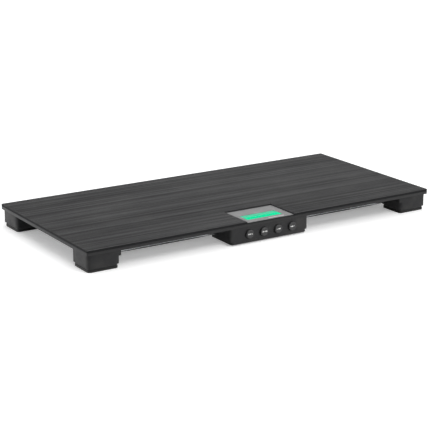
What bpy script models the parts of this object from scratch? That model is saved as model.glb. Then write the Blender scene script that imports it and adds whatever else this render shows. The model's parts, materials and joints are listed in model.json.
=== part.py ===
"""A low floor scale: a long ribbed deck on four load-cell feet, with its console under the front edge.

Metres, +Z up. The origin is on the floor under the middle of the deck; the console faces -Y.
"""

import math

import bmesh
import bpy
from mathutils import Vector

MM = 0.001

# Fits
GAP = 0.3 * MM  # between two pieces that touch, or that slide on each other
CUT = 5 * MM  # how far a cutter runs past what it cuts

# Deck
DECK_LENGTH = 1000 * MM
DECK_DEPTH = 467 * MM
OVERALL_HEIGHT = 56 * MM
DECK_CORNER = 3 * MM
MAT_THICKNESS = 5.5 * MM
RIB_PITCH = 6 * MM
RIB_CREST = 3.6 * MM
RIB_HEIGHT = 0.9 * MM
MAT_BORDER = 3 * MM
SHEET = 2 * MM
SKIRT_DROP = 7.2 * MM

# Sub-frame rails, rectangular tube
RAIL_WIDTH = 15 * MM
RAIL_HEIGHT = 30 * MM
RAIL_WALL = 1.5 * MM
RAIL_FRONT_INSET = 61.5 * MM  # from the deck's front or rear edge to the rail's outer face
RAIL_SIDE_INSET = 44 * MM  # from the deck's end to the side rail's outer face

# Corner blocks
BLOCK_LENGTH = 85 * MM
BLOCK_DEPTH = 79 * MM
BLOCK_STEP = 3.5 * MM  # how far the upper tier reaches further along the front rail
BLOCK_STEP_HEIGHT = 30 * MM
BLOCK_END_INSET = 2.6 * MM
BLOCK_FRONT_INSET = 4.5 * MM
BLOCK_CLEARANCE = 11 * MM  # height of its lower rim above the floor
BLOCK_CORNER = 10 * MM
TIER_CORNER = 3.3 * MM
BLOCK_WALL = 3 * MM
BLOCK_CEILING = 4 * MM
SPIGOT_REACH = 20 * MM

# Load cells and feet
CELL_LENGTH = 50 * MM
CELL_WIDTH = 14 * MM
CELL_HEIGHT = 11.5 * MM
CELL_SEAT = 8 * MM  # depth of the boss that the cell's fixed end bolts to
CELL_SEAT_LENGTH = 17 * MM
CELL_BORE = 3.2 * MM  # radius of the two holes that thin the beam
CELL_BORE_SPACING = 5 * MM
CELL_BORE_OFFSET = 6.25 * MM  # from the foot's middle to the middle of the two holes
FOOT_MARGIN = 3 * MM  # foot inside the block's outline, each side
FOOT_CORNER = 8 * MM
PAD_THICKNESS = 6 * MM
FOOT_PLATE = 8 * MM
PLATE_INSET = 1 * MM  # foot plate inside the pad's outline, each side
FOOT_STEM = 8 * MM  # radius

# Console
CONSOLE_LENGTH = 231 * MM
CONSOLE_DEPTH = 94 * MM
CONSOLE_SETBACK = 1.5 * MM  # front face behind the deck's front edge
CONSOLE_CLEARANCE = 3 * MM
CONSOLE_CORNER = 8 * MM
CONSOLE_WALL = 2.5 * MM
COVER_THICKNESS = 6.6 * MM
COVER_INSET = 5 * MM
POST_RADIUS = 4.5 * MM
POST_INSET = 9 * MM  # post's axis from the console's outside faces

# Buttons
BUTTON_COUNT = 4
BUTTON_PITCH = 41.8 * MM
BUTTON_RADIUS = 10.9 * MM
BUTTON_ROW_OFFSET = 3.2 * MM
BUTTON_HEIGHT = 24.8 * MM  # axis above the floor
BUTTON_PROUD = 5.5 * MM  # front of the cap ahead of the console's front face
BUTTON_DISH = 0.6 * MM
BUTTON_ROUND = 2.2 * MM  # rounding round the cap's face
DISH_FLOOR = 4 * MM  # radius of the dish's flat middle
BUTTON_TRAVEL = 0.8 * MM
BUTTON_LIP = 1.7 * MM
BUTTON_STEM = 2.5 * MM
BUTTON_STEM_LENGTH = 3 * MM
SWITCH_SIDE = 12 * MM
SWITCH_HEIGHT = 4.3 * MM
BOARD_THICKNESS = 1.6 * MM
BOARD_REACH = 10.8 * MM  # from a button's axis to the button board's edge

# Display
BEZEL_LENGTH = 138 * MM
BEZEL_DEPTH = 101.5 * MM
BEZEL_THICKNESS = 2.5 * MM
BEZEL_CORNER = 2 * MM
BEZEL_OFFSET = 3.5 * MM
WINDOW_LENGTH = 102 * MM
WINDOW_DEPTH = 36 * MM
WINDOW_OFFSET = 0.5 * MM
WINDOW_FRONT_MARGIN = 21 * MM
LENS_LAP = 2 * MM
LENS_THICKNESS = 1.1 * MM
PANEL_THICKNESS = 2.5 * MM
BACKLIGHT_THICKNESS = 8.6 * MM

# Battery compartment
BATTERY_RADIUS = 7.1 * MM
BATTERY_LENGTH = 50 * MM
NIB_RADIUS = 2.7 * MM
NIB_LENGTH = 1 * MM
CONTACT_THICKNESS = 0.6 * MM
CONTACT_PAD_RADIUS = 3.5 * MM
CONTACT_PAD_HEIGHT = 1 * MM
HOLDER_WALL = 1.5 * MM
HOLDER_CLEARANCE = 2 * MM  # between the holder and the front rail
DOOR_THICKNESS = 2.2 * MM
DOOR_TONGUE = 1.5 * MM

# Fasteners, sounder and cables
SCREW_RADIUS = 1.5 * MM
SCREW_HEAD_RADIUS = 3 * MM
SCREW_HEAD_HEIGHT = 2 * MM
BOLT_RADIUS = 2.5 * MM
BOLT_HEAD_RADIUS = 4.5 * MM
BOLT_HEAD_HEIGHT = 3 * MM
SOUNDER_RADIUS = 6 * MM
SOUNDER_HEIGHT = 7 * MM
CABLE_RADIUS = 1.2 * MM
CABLE_RISE = 0.5 * MM  # cable's axis above the rails' lower faces

# Heights, from the top down
MAT_BASE = OVERALL_HEIGHT - MAT_THICKNESS
PLATE_TOP = MAT_BASE - GAP
PLATE_UNDERSIDE = PLATE_TOP - SHEET
SKIRT_FOOT = PLATE_TOP - SKIRT_DROP
FRAME_TOP = PLATE_UNDERSIDE - GAP
BLOCK_CEILING_HEIGHT = FRAME_TOP - BLOCK_CEILING
CELL_TOP = BLOCK_CEILING_HEIGHT - CELL_SEAT - GAP
CELL_BASE = CELL_TOP - CELL_HEIGHT

# Places along the front
DECK_FRONT = -DECK_DEPTH / 2
CONSOLE_FRONT = DECK_FRONT + CONSOLE_SETBACK
CONSOLE_BACK = CONSOLE_FRONT + CONSOLE_DEPTH
CONSOLE_FOOT = CONSOLE_CLEARANCE + COVER_THICKNESS + GAP
CORNERS = {"front_left": (-1, -1), "front_right": (1, -1), "rear_left": (-1, 1), "rear_right": (1, 1)}


for old in list(bpy.data.objects):
    bpy.data.objects.remove(old)


def linear(channel):
    """One sRGB channel, 0 to 1, as linear light."""
    return channel / 12.92 if channel <= 0.04045 else ((channel + 0.055) / 1.055) ** 2.4


def finish(name, hex_colour, roughness, metallic=0.0):
    made = bpy.data.materials.new(name)
    made.use_nodes = True
    shader = made.node_tree.nodes["Principled BSDF"]
    channels = [int(hex_colour[i : i + 2], 16) / 255 for i in (0, 2, 4)]
    shader.inputs["Base Color"].default_value = (*map(linear, channels), 1)
    shader.inputs["Roughness"].default_value = roughness
    shader.inputs["Metallic"].default_value = metallic
    return made


MAT_RUBBER = finish("ribbed_rubber", "464646", 0.75)
BLACK_PAINT = finish("black_powder_coat", "383838", 0.5)
PLATED_STEEL = finish("zinc_plated_steel", "C4C6C8", 0.35, 1.0)
BLACK_ABS = finish("black_moulded_abs", "2E2E2E", 0.55)
FOOT_RUBBER = finish("foot_rubber", "262626", 0.85)
CELL_ALUMINIUM = finish("load_cell_aluminium", "BFC1C2", 0.3, 1.0)
BEZEL_PLASTIC = finish("light_grey_moulding", "BEC0C2", 0.4)
CLEAR_LENS = finish("clear_acrylic", "D8F2E8", 0.08)
PANEL_GREEN = finish("green_lcd", "1FD79B", 0.2)
BACKLIGHT_WHITE = finish("white_light_guide", "F2F2EE", 0.5)
BOARD_GREEN = finish("green_circuit_board", "1E5A38", 0.45)
BUTTON_PLASTIC = finish("black_button_cap", "1B1B1B", 0.35)
SWITCH_STEEL = finish("switch_steel", "9A9C9E", 0.4, 1.0)
BATTERY_FILM = finish("battery_sleeve", "5A6470", 0.35)
CONTACT_NICKEL = finish("nickel_contact", "C9C5BC", 0.25, 1.0)
SCREW_STEEL = finish("black_zinc_screw", "4A4A4C", 0.4, 1.0)
SOUNDER_PLASTIC = finish("sounder_case", "151515", 0.5)
CABLE_JACKET = finish("grey_pvc_cable", "57585A", 0.6)


def place(name, mesh, location, material):
    """A named object that holds the mesh at its location."""
    for polygon in mesh.polygons:
        polygon.use_smooth = True
    mesh.set_sharp_from_angle(angle=math.radians(35))
    mesh.materials.append(material)
    made = bpy.data.objects.new(name, mesh)
    made.location = location
    bpy.context.collection.objects.link(made)
    return made


def mesh_from(bm, name):
    mesh = bpy.data.meshes.new(name)
    bmesh.ops.recalc_face_normals(bm, faces=bm.faces)
    bm.to_mesh(mesh)
    bm.free()
    return mesh


def block(name, x, y, z, material, corner=0.0):
    """A box between the given (low, high) pairs, its upright edges rounded by corner."""
    low = Vector((min(x), min(y), min(z)))
    size = Vector((max(x), max(y), max(z))) - low
    bm = bmesh.new()
    bmesh.ops.create_cube(bm, size=1)
    bmesh.ops.scale(bm, vec=size, verts=bm.verts)
    if corner:
        upright = [e for e in bm.edges if abs(e.verts[0].co.z - e.verts[1].co.z) > size.z / 2]
        bmesh.ops.bevel(
            bm,
            geom=upright,
            offset=corner,
            offset_type="OFFSET",
            affect="EDGES",
            segments=4,
            profile=0.5,
            material=-1,
        )
    return place(name, mesh_from(bm, name), low + size / 2, material)


def turned(name, stations, location, material, axis=(0, 0, 1), steps=20):
    """A round piece about the axis: stations are (distance along the axis, radius), in order."""
    bm = bmesh.new()
    outline = [(0, stations[0][0]), *[(radius, along) for along, radius in stations], (0, stations[-1][0])]
    rail = [bm.verts.new((radius, 0, along)) for radius, along in outline]
    edges = [bm.edges.new(pair) for pair in zip(rail, rail[1:])]
    bmesh.ops.spin(
        bm,
        geom=rail + edges,
        cent=(0, 0, 0),
        axis=(0, 0, 1),
        angle=math.tau,
        steps=steps,
        use_merge=True,
    )
    bmesh.ops.remove_doubles(bm, verts=bm.verts, dist=0.01 * MM)
    turn = Vector((0, 0, 1)).rotation_difference(Vector(axis)).to_matrix()
    bmesh.ops.rotate(bm, verts=bm.verts, cent=(0, 0, 0), matrix=turn)
    return place(name, mesh_from(bm, name), location, material)


def reshape(target, tool, operation="DIFFERENCE"):
    """Cuts the tool from the target, or joins or intersects them, and hides the tool."""
    step = target.modifiers.new(tool.name, "BOOLEAN")
    step.operation = operation
    step.solver = "EXACT"
    step.object = tool
    tool.hide_render = True
    tool.display_type = "WIRE"
    tool.parent = target
    tool.matrix_parent_inverse = target.matrix_basis.inverted()
    return target


def between(low, high):
    return (low + high) / 2


# Deck mat: one rubber sheet, ribbed from end to end, open at the front for the display.

bezel_x = (BEZEL_OFFSET - BEZEL_LENGTH / 2, BEZEL_OFFSET + BEZEL_LENGTH / 2)
bezel_y = (CONSOLE_FRONT, CONSOLE_FRONT + BEZEL_DEPTH)


def ribbed_sheet():
    """The mat's cross-section, drawn in YZ and pushed out along X, a little over length and depth."""
    rib_count = int((DECK_DEPTH - 2 * MAT_BORDER) / RIB_PITCH)
    groove_half = (RIB_PITCH - RIB_CREST) / 2
    edge = DECK_DEPTH / 2 + CUT
    outline = [(edge, MAT_THICKNESS), (edge, 0), (-edge, 0), (-edge, MAT_THICKNESS)]
    for groove in range(rib_count + 1):
        middle = (groove - rib_count / 2) * RIB_PITCH
        outline.append((middle - groove_half, MAT_THICKNESS))
        outline.append((middle, MAT_THICKNESS - RIB_HEIGHT))
        outline.append((middle + groove_half, MAT_THICKNESS))
    bm = bmesh.new()
    start = -DECK_LENGTH / 2 - CUT
    face = bm.faces.new([bm.verts.new((start, y, z)) for y, z in outline])
    pushed = bmesh.ops.extrude_face_region(bm, geom=[face])["geom"]
    moved = [v for v in pushed if isinstance(v, bmesh.types.BMVert)]
    bmesh.ops.translate(bm, verts=moved, vec=(DECK_LENGTH + 2 * CUT, 0, 0))
    return mesh_from(bm, "deck_mat")


deck_x = (-DECK_LENGTH / 2, DECK_LENGTH / 2)
deck_y = (-DECK_DEPTH / 2, DECK_DEPTH / 2)
deck_mat = place("deck_mat", ribbed_sheet(), (0, 0, MAT_BASE), MAT_RUBBER)
mat_outline = block(
    "mat_outline", deck_x, deck_y, (MAT_BASE - CUT, OVERALL_HEIGHT + CUT), MAT_RUBBER, DECK_CORNER
)
reshape(deck_mat, mat_outline, "INTERSECT")
mat_opening = block(
    "mat_opening",
    (bezel_x[0] - GAP, bezel_x[1] + GAP),
    (DECK_FRONT - CUT, bezel_y[1] + GAP),
    (MAT_BASE - CUT, OVERALL_HEIGHT + CUT),
    MAT_RUBBER,
)
reshape(deck_mat, mat_opening)


# Deck plate: a painted steel tray with its edge turned down all round.

window_x = (WINDOW_OFFSET - WINDOW_LENGTH / 2, WINDOW_OFFSET + WINDOW_LENGTH / 2)
window_y = (CONSOLE_FRONT + WINDOW_FRONT_MARGIN, CONSOLE_FRONT + WINDOW_FRONT_MARGIN + WINDOW_DEPTH)


def grown(span, by):
    return (span[0] - by, span[1] + by)


deck_plate = block("deck_plate", deck_x, deck_y, (SKIRT_FOOT, PLATE_TOP), BLACK_PAINT, DECK_CORNER)
tray_hollow = block(
    "tray_hollow",
    grown(deck_x, -SHEET),
    grown(deck_y, -SHEET),
    (SKIRT_FOOT - CUT, PLATE_UNDERSIDE),
    BLACK_PAINT,
    DECK_CORNER - SHEET,
)
reshape(deck_plate, tray_hollow)
display_hole = block(
    "display_hole",
    grown(window_x, LENS_LAP + GAP),
    grown(window_y, LENS_LAP + GAP),
    (SKIRT_FOOT, PLATE_TOP + CUT),
    BLACK_PAINT,
)
reshape(deck_plate, display_hole)


# Sub-frame: four open-ended rectangular tubes that slide over the corner blocks' spigots.

block_outer_x = DECK_LENGTH / 2 - BLOCK_END_INSET
block_inner_x = block_outer_x - BLOCK_LENGTH
tier_inner_x = block_inner_x - BLOCK_STEP
block_outer_y = DECK_DEPTH / 2 - BLOCK_FRONT_INSET
block_inner_y = block_outer_y - BLOCK_DEPTH
rail_y = DECK_DEPTH / 2 - RAIL_FRONT_INSET - RAIL_WIDTH / 2
rail_x = DECK_LENGTH / 2 - RAIL_SIDE_INSET - RAIL_WIDTH / 2
rail_z = (FRAME_TOP - RAIL_HEIGHT, FRAME_TOP)


def rail(name, x, y, along_x):
    """A tube with its bore running right through along X or Y."""
    bore_z = grown(rail_z, -RAIL_WALL)
    bore_x = grown(x, CUT if along_x else -RAIL_WALL)
    bore_y = grown(y, -RAIL_WALL if along_x else CUT)
    tube = block(name, x, y, rail_z, PLATED_STEEL)
    return reshape(tube, block(name + "_bore", bore_x, bore_y, bore_z, PLATED_STEEL))


long_rail = (-tier_inner_x + GAP, tier_inner_x - GAP)
short_rail = (-block_inner_y + GAP, block_inner_y - GAP)
rail("front_rail", long_rail, grown((-rail_y, -rail_y), RAIL_WIDTH / 2), True)
rail("rear_rail", long_rail, grown((rail_y, rail_y), RAIL_WIDTH / 2), True)
rail("left_rail", grown((-rail_x, -rail_x), RAIL_WIDTH / 2), short_rail, False)
rail("right_rail", grown((rail_x, rail_x), RAIL_WIDTH / 2), short_rail, False)


# Corners: each has a moulded block, a beam load cell bolted into it, and a foot under the cell's free end.

foot_x = grown((block_inner_x, block_outer_x), -FOOT_MARGIN)
foot_y = grown((block_inner_y, block_outer_y), -FOOT_MARGIN)
foot_middle = (between(*foot_x), between(*foot_y))
cell_x = (block_inner_x + BLOCK_WALL + GAP, block_inner_x + BLOCK_WALL + GAP + CELL_LENGTH)
cell_y = grown((foot_middle[1], foot_middle[1]), CELL_WIDTH / 2)
cell_bolt_x = cell_x[0] + CELL_SEAT_LENGTH / 2

# The front cables run along the front rail's outer face, the rear ones along the side rails' inner faces
# and the front rail's back.
cable_reach = RAIL_WIDTH / 2 + CABLE_RADIUS + 4 * GAP
front_lane = rail_y + cable_reach
back_lane = rail_y - cable_reach
side_lane = rail_x - cable_reach
cable_z = rail_z[0] + CABLE_RISE
front_exit = (block_inner_x + BLOCK_WALL / 2, front_lane)
rear_exit = (side_lane, block_inner_y + BLOCK_WALL / 2)


def corner(where, sign_x, sign_y):
    """The pieces at one corner. Spans are given for the +X +Y corner and turned by the two signs."""

    def x(span):
        return (sign_x * span[0], sign_x * span[1])

    def y(span):
        return (sign_y * span[0], sign_y * span[1])

    def at(point):
        return (sign_x * point[0], sign_y * point[1])

    def shape(label, span_x, span_y, span_z, rounding=0.0):
        return block(f"{where}_{label}", x(span_x), y(span_y), span_z, BLACK_ABS, rounding)

    lower = (BLOCK_CLEARANCE, FRAME_TOP)
    outline_x = (block_inner_x, block_outer_x)
    outline_y = (block_inner_y, block_outer_y)
    body = block(f"corner_block_{where}", x(outline_x), y(outline_y), lower, BLACK_ABS, BLOCK_CORNER)
    tier_x = (tier_inner_x, block_outer_x - BLOCK_CORNER)
    tier = shape("tier", tier_x, outline_y, (BLOCK_STEP_HEIGHT, FRAME_TOP), TIER_CORNER)
    reshape(body, tier, "UNION")
    pocket = shape(
        "pocket",
        grown(outline_x, -BLOCK_WALL),
        grown(outline_y, -BLOCK_WALL),
        (BLOCK_CLEARANCE - CUT, BLOCK_CEILING_HEIGHT),
        BLOCK_CORNER - BLOCK_WALL,
    )
    reshape(body, pocket)
    spigot_y = grown((rail_y, rail_y), RAIL_WIDTH / 2 - RAIL_WALL - GAP)
    spigot_x = grown((rail_x, rail_x), RAIL_WIDTH / 2 - RAIL_WALL - GAP)
    spigot_z = grown(rail_z, -RAIL_WALL - GAP)
    long_reach = (tier_inner_x - SPIGOT_REACH, block_inner_x + BLOCK_WALL / 2)
    reshape(body, shape("long_spigot", long_reach, spigot_y, spigot_z), "UNION")
    short_reach = (block_inner_y - SPIGOT_REACH, block_inner_y + BLOCK_WALL / 2)
    reshape(body, shape("short_spigot", spigot_x, short_reach, spigot_z), "UNION")
    seat_top = BLOCK_CEILING_HEIGHT + BLOCK_CEILING / 2
    seat_x = (block_inner_x + BLOCK_WALL / 2, cell_x[0] + CELL_SEAT_LENGTH)
    reshape(body, shape("seat", seat_x, cell_y, (CELL_TOP + GAP, seat_top)), "UNION")

    # One bolt holds the load cell, the corner block and the deck plate together.
    bolt_at = (*at((cell_bolt_x, foot_middle[1])), 0)
    bolt_hole = turned(
        f"{where}_bolt_hole",
        [(CELL_BASE - CUT, BOLT_RADIUS + GAP), (PLATE_TOP + CUT, BOLT_RADIUS + GAP)],
        bolt_at,
        BLACK_ABS,
        steps=16,
    )
    reshape(body, bolt_hole)
    reshape(deck_plate, bolt_hole)
    cable_hole = turned(
        f"{where}_cable_hole",
        [(-CUT, CABLE_RADIUS + 2 * GAP), (CUT, CABLE_RADIUS + 2 * GAP)],
        (*at(front_exit if sign_y < 0 else rear_exit), cable_z),
        BLACK_ABS,
        (1, 0, 0) if sign_y < 0 else (0, 1, 0),
        12,
    )
    reshape(body, cable_hole)

    cell = block(f"load_cell_{where}", x(cell_x), y(cell_y), (CELL_BASE, CELL_TOP), CELL_ALUMINIUM)
    for number, offset in enumerate((-CELL_BORE_SPACING / 2, CELL_BORE_SPACING / 2)):
        bore_at = at((foot_middle[0] - CELL_BORE_OFFSET + offset, foot_middle[1]))
        bore = turned(
            f"{where}_cell_bore_{number}",
            [(-CELL_WIDTH, CELL_BORE), (CELL_WIDTH, CELL_BORE)],
            (*bore_at, between(CELL_BASE, CELL_TOP)),
            CELL_ALUMINIUM,
            (0, 1, 0),
            16,
        )
        reshape(cell, bore)
    reshape(cell, bolt_hole)
    turned(
        f"cell_bolt_{where}",
        [
            (CELL_BASE - GAP - BOLT_HEAD_HEIGHT, BOLT_HEAD_RADIUS),
            (CELL_BASE - GAP, BOLT_HEAD_RADIUS),
            (CELL_BASE - GAP, BOLT_RADIUS),
            (PLATE_TOP - GAP, BOLT_RADIUS),
        ],
        bolt_at,
        SCREW_STEEL,
        steps=12,
    )

    slide = bpy.data.objects.new(f"foot_slide_{where}", None)
    slide.location = (*at(foot_middle), 0)
    bpy.context.collection.objects.link(slide)
    plate_base = PAD_THICKNESS + GAP
    pad = block(f"foot_pad_{where}", x(foot_x), y(foot_y), (0, PAD_THICKNESS), FOOT_RUBBER, FOOT_CORNER)
    plate = block(
        f"foot_plate_{where}",
        x(grown(foot_x, -PLATE_INSET)),
        y(grown(foot_y, -PLATE_INSET)),
        (plate_base, plate_base + FOOT_PLATE),
        BLACK_ABS,
        FOOT_CORNER - PLATE_INSET,
    )
    stem = turned(
        f"{where}_stem",
        [(plate_base + FOOT_PLATE / 2, FOOT_STEM), (CELL_BASE - GAP, FOOT_STEM)],
        (*at(foot_middle), 0),
        BLACK_ABS,
        steps=16,
    )
    reshape(plate, stem, "UNION")
    for piece in (pad, plate):
        piece.parent = slide
        piece.matrix_parent_inverse = slide.matrix_basis.inverted()


for where, signs in CORNERS.items():
    corner(where, *signs)


# Console housing: a moulded shell, open above and below, closed by the deck plate and the bottom cover.

console_x = (-CONSOLE_LENGTH / 2, CONSOLE_LENGTH / 2)
console_y = (CONSOLE_FRONT, CONSOLE_BACK)
console_top = SKIRT_FOOT - GAP
posts = [
    (sign * (CONSOLE_LENGTH / 2 - COVER_INSET - POST_INSET), y)
    for sign in (-1, 1)
    for y in (CONSOLE_FRONT + POST_INSET, CONSOLE_BACK - POST_INSET)
]
buttons = [BUTTON_ROW_OFFSET + (i - (BUTTON_COUNT - 1) / 2) * BUTTON_PITCH for i in range(BUTTON_COUNT)]

console_housing = block(
    "console_housing", console_x, console_y, (CONSOLE_FOOT, console_top), BLACK_ABS, CONSOLE_CORNER
)
collar = block(
    "collar",
    console_x,
    (DECK_FRONT + SHEET + GAP, CONSOLE_BACK),
    (console_top - CONSOLE_WALL, FRAME_TOP),
    BLACK_ABS,
    CONSOLE_CORNER,
)
reshape(console_housing, collar, "UNION")
cavity = block(
    "cavity",
    grown(console_x, -CONSOLE_WALL),
    (DECK_FRONT + SHEET + GAP + CONSOLE_WALL, CONSOLE_BACK - CONSOLE_WALL),
    (CONSOLE_FOOT - CUT, FRAME_TOP + CUT),
    BLACK_ABS,
    CONSOLE_CORNER - CONSOLE_WALL,
)
reshape(console_housing, cavity)

# The front rail runs right through the housing, so each end wall has a notch for it.
rail_notch = block(
    "rail_notch",
    grown(console_x, CUT),
    grown((-rail_y, -rail_y), RAIL_WIDTH / 2 + GAP),
    (rail_z[0] - GAP, FRAME_TOP + CUT),
    BLACK_ABS,
)
reshape(console_housing, rail_notch)
for number, (post_x, post_y) in enumerate(posts):
    post = turned(
        f"post_{number}",
        [(CONSOLE_FOOT, POST_RADIUS), (FRAME_TOP, POST_RADIUS)],
        (post_x, post_y, 0),
        BLACK_ABS,
        steps=16,
    )
    reshape(console_housing, post, "UNION")
    web_x = sorted((post_x, math.copysign(CONSOLE_LENGTH / 2 - CONSOLE_WALL / 2, post_x)))
    web = block(
        f"post_web_{number}",
        web_x,
        grown((post_y, post_y), CONSOLE_WALL / 2),
        (CONSOLE_FOOT, FRAME_TOP),
        BLACK_ABS,
    )
    reshape(console_housing, web, "UNION")

# The bottom cover closes the housing. Four long screws run up through both into the deck plate.
cover_x = grown(console_x, -COVER_INSET)
cover_z = (CONSOLE_CLEARANCE, CONSOLE_CLEARANCE + COVER_THICKNESS)
console_cover = block("console_cover", cover_x, console_y, cover_z, BLACK_ABS, CONSOLE_CORNER)
screw_seat = cover_z[0] + SCREW_HEAD_HEIGHT + GAP
for number, (post_x, post_y) in enumerate(posts):
    shank = turned(
        f"console_screw_hole_{number}",
        [(CONSOLE_CLEARANCE - CUT, SCREW_RADIUS + GAP), (PLATE_TOP + CUT, SCREW_RADIUS + GAP)],
        (post_x, post_y, 0),
        BLACK_ABS,
        steps=12,
    )
    for pierced in (console_housing, console_cover, deck_plate):
        reshape(pierced, shank)
    sink = turned(
        f"console_screw_sink_{number}",
        [(CONSOLE_CLEARANCE - CUT, SCREW_HEAD_RADIUS + GAP), (screw_seat, SCREW_HEAD_RADIUS + GAP)],
        (post_x, post_y, 0),
        BLACK_ABS,
        steps=16,
    )
    reshape(console_cover, sink)
    turned(
        f"console_screw_{number + 1}",
        [
            (screw_seat - GAP - SCREW_HEAD_HEIGHT, SCREW_HEAD_RADIUS),
            (screw_seat - GAP, SCREW_HEAD_RADIUS),
            (screw_seat - GAP, SCREW_RADIUS),
            (PLATE_TOP - GAP, SCREW_RADIUS),
        ],
        (post_x, post_y, 0),
        SCREW_STEEL,
        steps=12,
    )


# Battery holder: an upturned tray for four cells in two rows, its mouth over the opening in the cover.

row_pitch = 2 * BATTERY_RADIUS + 2 * GAP
rows_depth = 2 * row_pitch
cells_half = BATTERY_LENGTH + NIB_LENGTH + 1.5 * GAP
holder_half = cells_half + CONTACT_PAD_HEIGHT + CONTACT_THICKNESS + GAP + HOLDER_WALL
holder_back = -(rail_y + RAIL_WIDTH / 2) - HOLDER_CLEARANCE
holder_y = (holder_back - rows_depth - 2 * HOLDER_WALL - 2 * GAP, holder_back)
holder_z = (CONSOLE_FOOT, CONSOLE_FOOT + 2 * BATTERY_RADIUS + 2 * GAP + HOLDER_WALL)
bay_x = (-holder_half + HOLDER_WALL, holder_half - HOLDER_WALL)
bay_y = grown(holder_y, -HOLDER_WALL)
battery_z = CONSOLE_FOOT + BATTERY_RADIUS + GAP

battery_holder = block("battery_holder", (-holder_half, holder_half), holder_y, holder_z, BLACK_ABS)
bay = block("bay", bay_x, bay_y, (holder_z[0] - CUT, holder_z[1] - HOLDER_WALL), BLACK_ABS)
reshape(battery_holder, bay)

row_y = [between(*bay_y) + sign * row_pitch / 2 for sign in (-1, 1)]
for row, y in enumerate(row_y):
    for column, side in enumerate((-1, 1)):
        towards = 1 if row == 0 else -1
        cell_middle = side * (GAP + BATTERY_LENGTH + NIB_LENGTH) / 2
        start = cell_middle - towards * (BATTERY_LENGTH + NIB_LENGTH) / 2
        turned(
            f"battery_{2 * row + column + 1}",
            [
                (0, BATTERY_RADIUS),
                (BATTERY_LENGTH, BATTERY_RADIUS),
                (BATTERY_LENGTH, NIB_RADIUS),
                (BATTERY_LENGTH + NIB_LENGTH, NIB_RADIUS),
            ],
            (start, y, battery_z),
            BATTERY_FILM,
            (towards, 0, 0),
        )

for label, side in (("left", -1), ("right", 1)):
    wall = side * (holder_half - HOLDER_WALL - GAP)
    spring_face = wall - side * CONTACT_THICKNESS
    strip_z = (holder_z[0] + GAP, holder_z[1] - HOLDER_WALL - GAP)
    strip_x = (wall, spring_face)
    strip = block(f"battery_contact_{label}", strip_x, grown(bay_y, -GAP), strip_z, CONTACT_NICKEL)
    for row, y in enumerate(row_y):
        stud = turned(
            f"contact_{label}_{row}",
            [(-CONTACT_THICKNESS / 2, CONTACT_PAD_RADIUS), (CONTACT_PAD_HEIGHT, CONTACT_PAD_RADIUS / 2)],
            (spring_face, y, battery_z),
            CONTACT_NICKEL,
            (-side, 0, 0),
            12,
        )
        reshape(strip, stud, "UNION")

# Battery door: a hatch that slides rearwards under the cover, its side tongues in the cover's grooves.
door_x = grown(bay_x, -DOOR_TONGUE)
door_y = bay_y
door_z = (CONSOLE_CLEARANCE, CONSOLE_CLEARANCE + DOOR_THICKNESS)
tongue_z = (between(*door_z), door_z[1])
battery_door = block("battery_door", door_x, door_y, door_z, BLACK_ABS)
tongues = block("door_tongues", grown(door_x, DOOR_TONGUE), door_y, tongue_z, BLACK_ABS)
reshape(battery_door, tongues, "UNION")
door_cut_y = (door_y[0] - GAP, CONSOLE_BACK + CUT)
door_cut = block("door_cut", grown(door_x, GAP), door_cut_y, (door_z[0] - CUT, door_z[1] + GAP), BLACK_ABS)
reshape(console_cover, door_cut)
groove_z = grown(tongue_z, GAP)
groove_cut = block("groove_cut", grown(door_x, DOOR_TONGUE + GAP), door_cut_y, groove_z, BLACK_ABS)
reshape(console_cover, groove_cut)
mouth_x = grown(bay_x, -2 * DOOR_TONGUE)
battery_cut = block("battery_cut", mouth_x, bay_y, (door_z[0], cover_z[1] + CUT), BLACK_ABS)
reshape(console_cover, battery_cut)


# Buttons: each cap slides in its own hole, held by a lip behind the wall, with a switch behind its stem.

wall_inside = DECK_FRONT + SHEET + GAP + CONSOLE_WALL
lip_front = wall_inside + GAP
stem_end = lip_front + BUTTON_LIP + BUTTON_STEM_LENGTH
switch_front = stem_end + BUTTON_TRAVEL + GAP
board_front = switch_front + SWITCH_HEIGHT + GAP
for number, x in enumerate(buttons):
    hole = turned(
        f"button_hole_{number}",
        [(-CUT, BUTTON_RADIUS + 2 * GAP), (CUT, BUTTON_RADIUS + 2 * GAP)],
        (x, between(CONSOLE_FRONT, wall_inside), BUTTON_HEIGHT),
        BLACK_ABS,
        (0, 1, 0),
        28,
    )
    reshape(console_housing, hole)
    front = CONSOLE_FRONT - BUTTON_PROUD
    turned(
        f"button_{number + 1}",
        [
            (BUTTON_DISH, DISH_FLOOR),
            (0, BUTTON_RADIUS - BUTTON_ROUND),
            (BUTTON_ROUND * 0.3, BUTTON_RADIUS - BUTTON_ROUND * 0.3),
            (BUTTON_ROUND, BUTTON_RADIUS),
            (lip_front - front, BUTTON_RADIUS),
            (lip_front - front, BUTTON_RADIUS + BUTTON_LIP),
            (lip_front - front + BUTTON_LIP, BUTTON_RADIUS + BUTTON_LIP),
            (lip_front - front + BUTTON_LIP, BUTTON_STEM),
            (stem_end - front, BUTTON_STEM),
        ],
        (x, front, BUTTON_HEIGHT),
        BUTTON_PLASTIC,
        (0, 1, 0),
        28,
    )
    block(
        f"tact_switch_{number + 1}",
        grown((x, x), SWITCH_SIDE / 2),
        (switch_front, switch_front + SWITCH_HEIGHT),
        grown((BUTTON_HEIGHT, BUTTON_HEIGHT), SWITCH_SIDE / 2),
        SWITCH_STEEL,
    )
block(
    "button_board",
    grown((buttons[0], buttons[-1]), BOARD_REACH),
    (board_front, board_front + BOARD_THICKNESS),
    grown((BUTTON_HEIGHT, BUTTON_HEIGHT), BOARD_REACH),
    BOARD_GREEN,
)


# Display: bezel and lens on the deck plate, LCD panel in the plate's hole, light guide and board below it.

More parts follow.
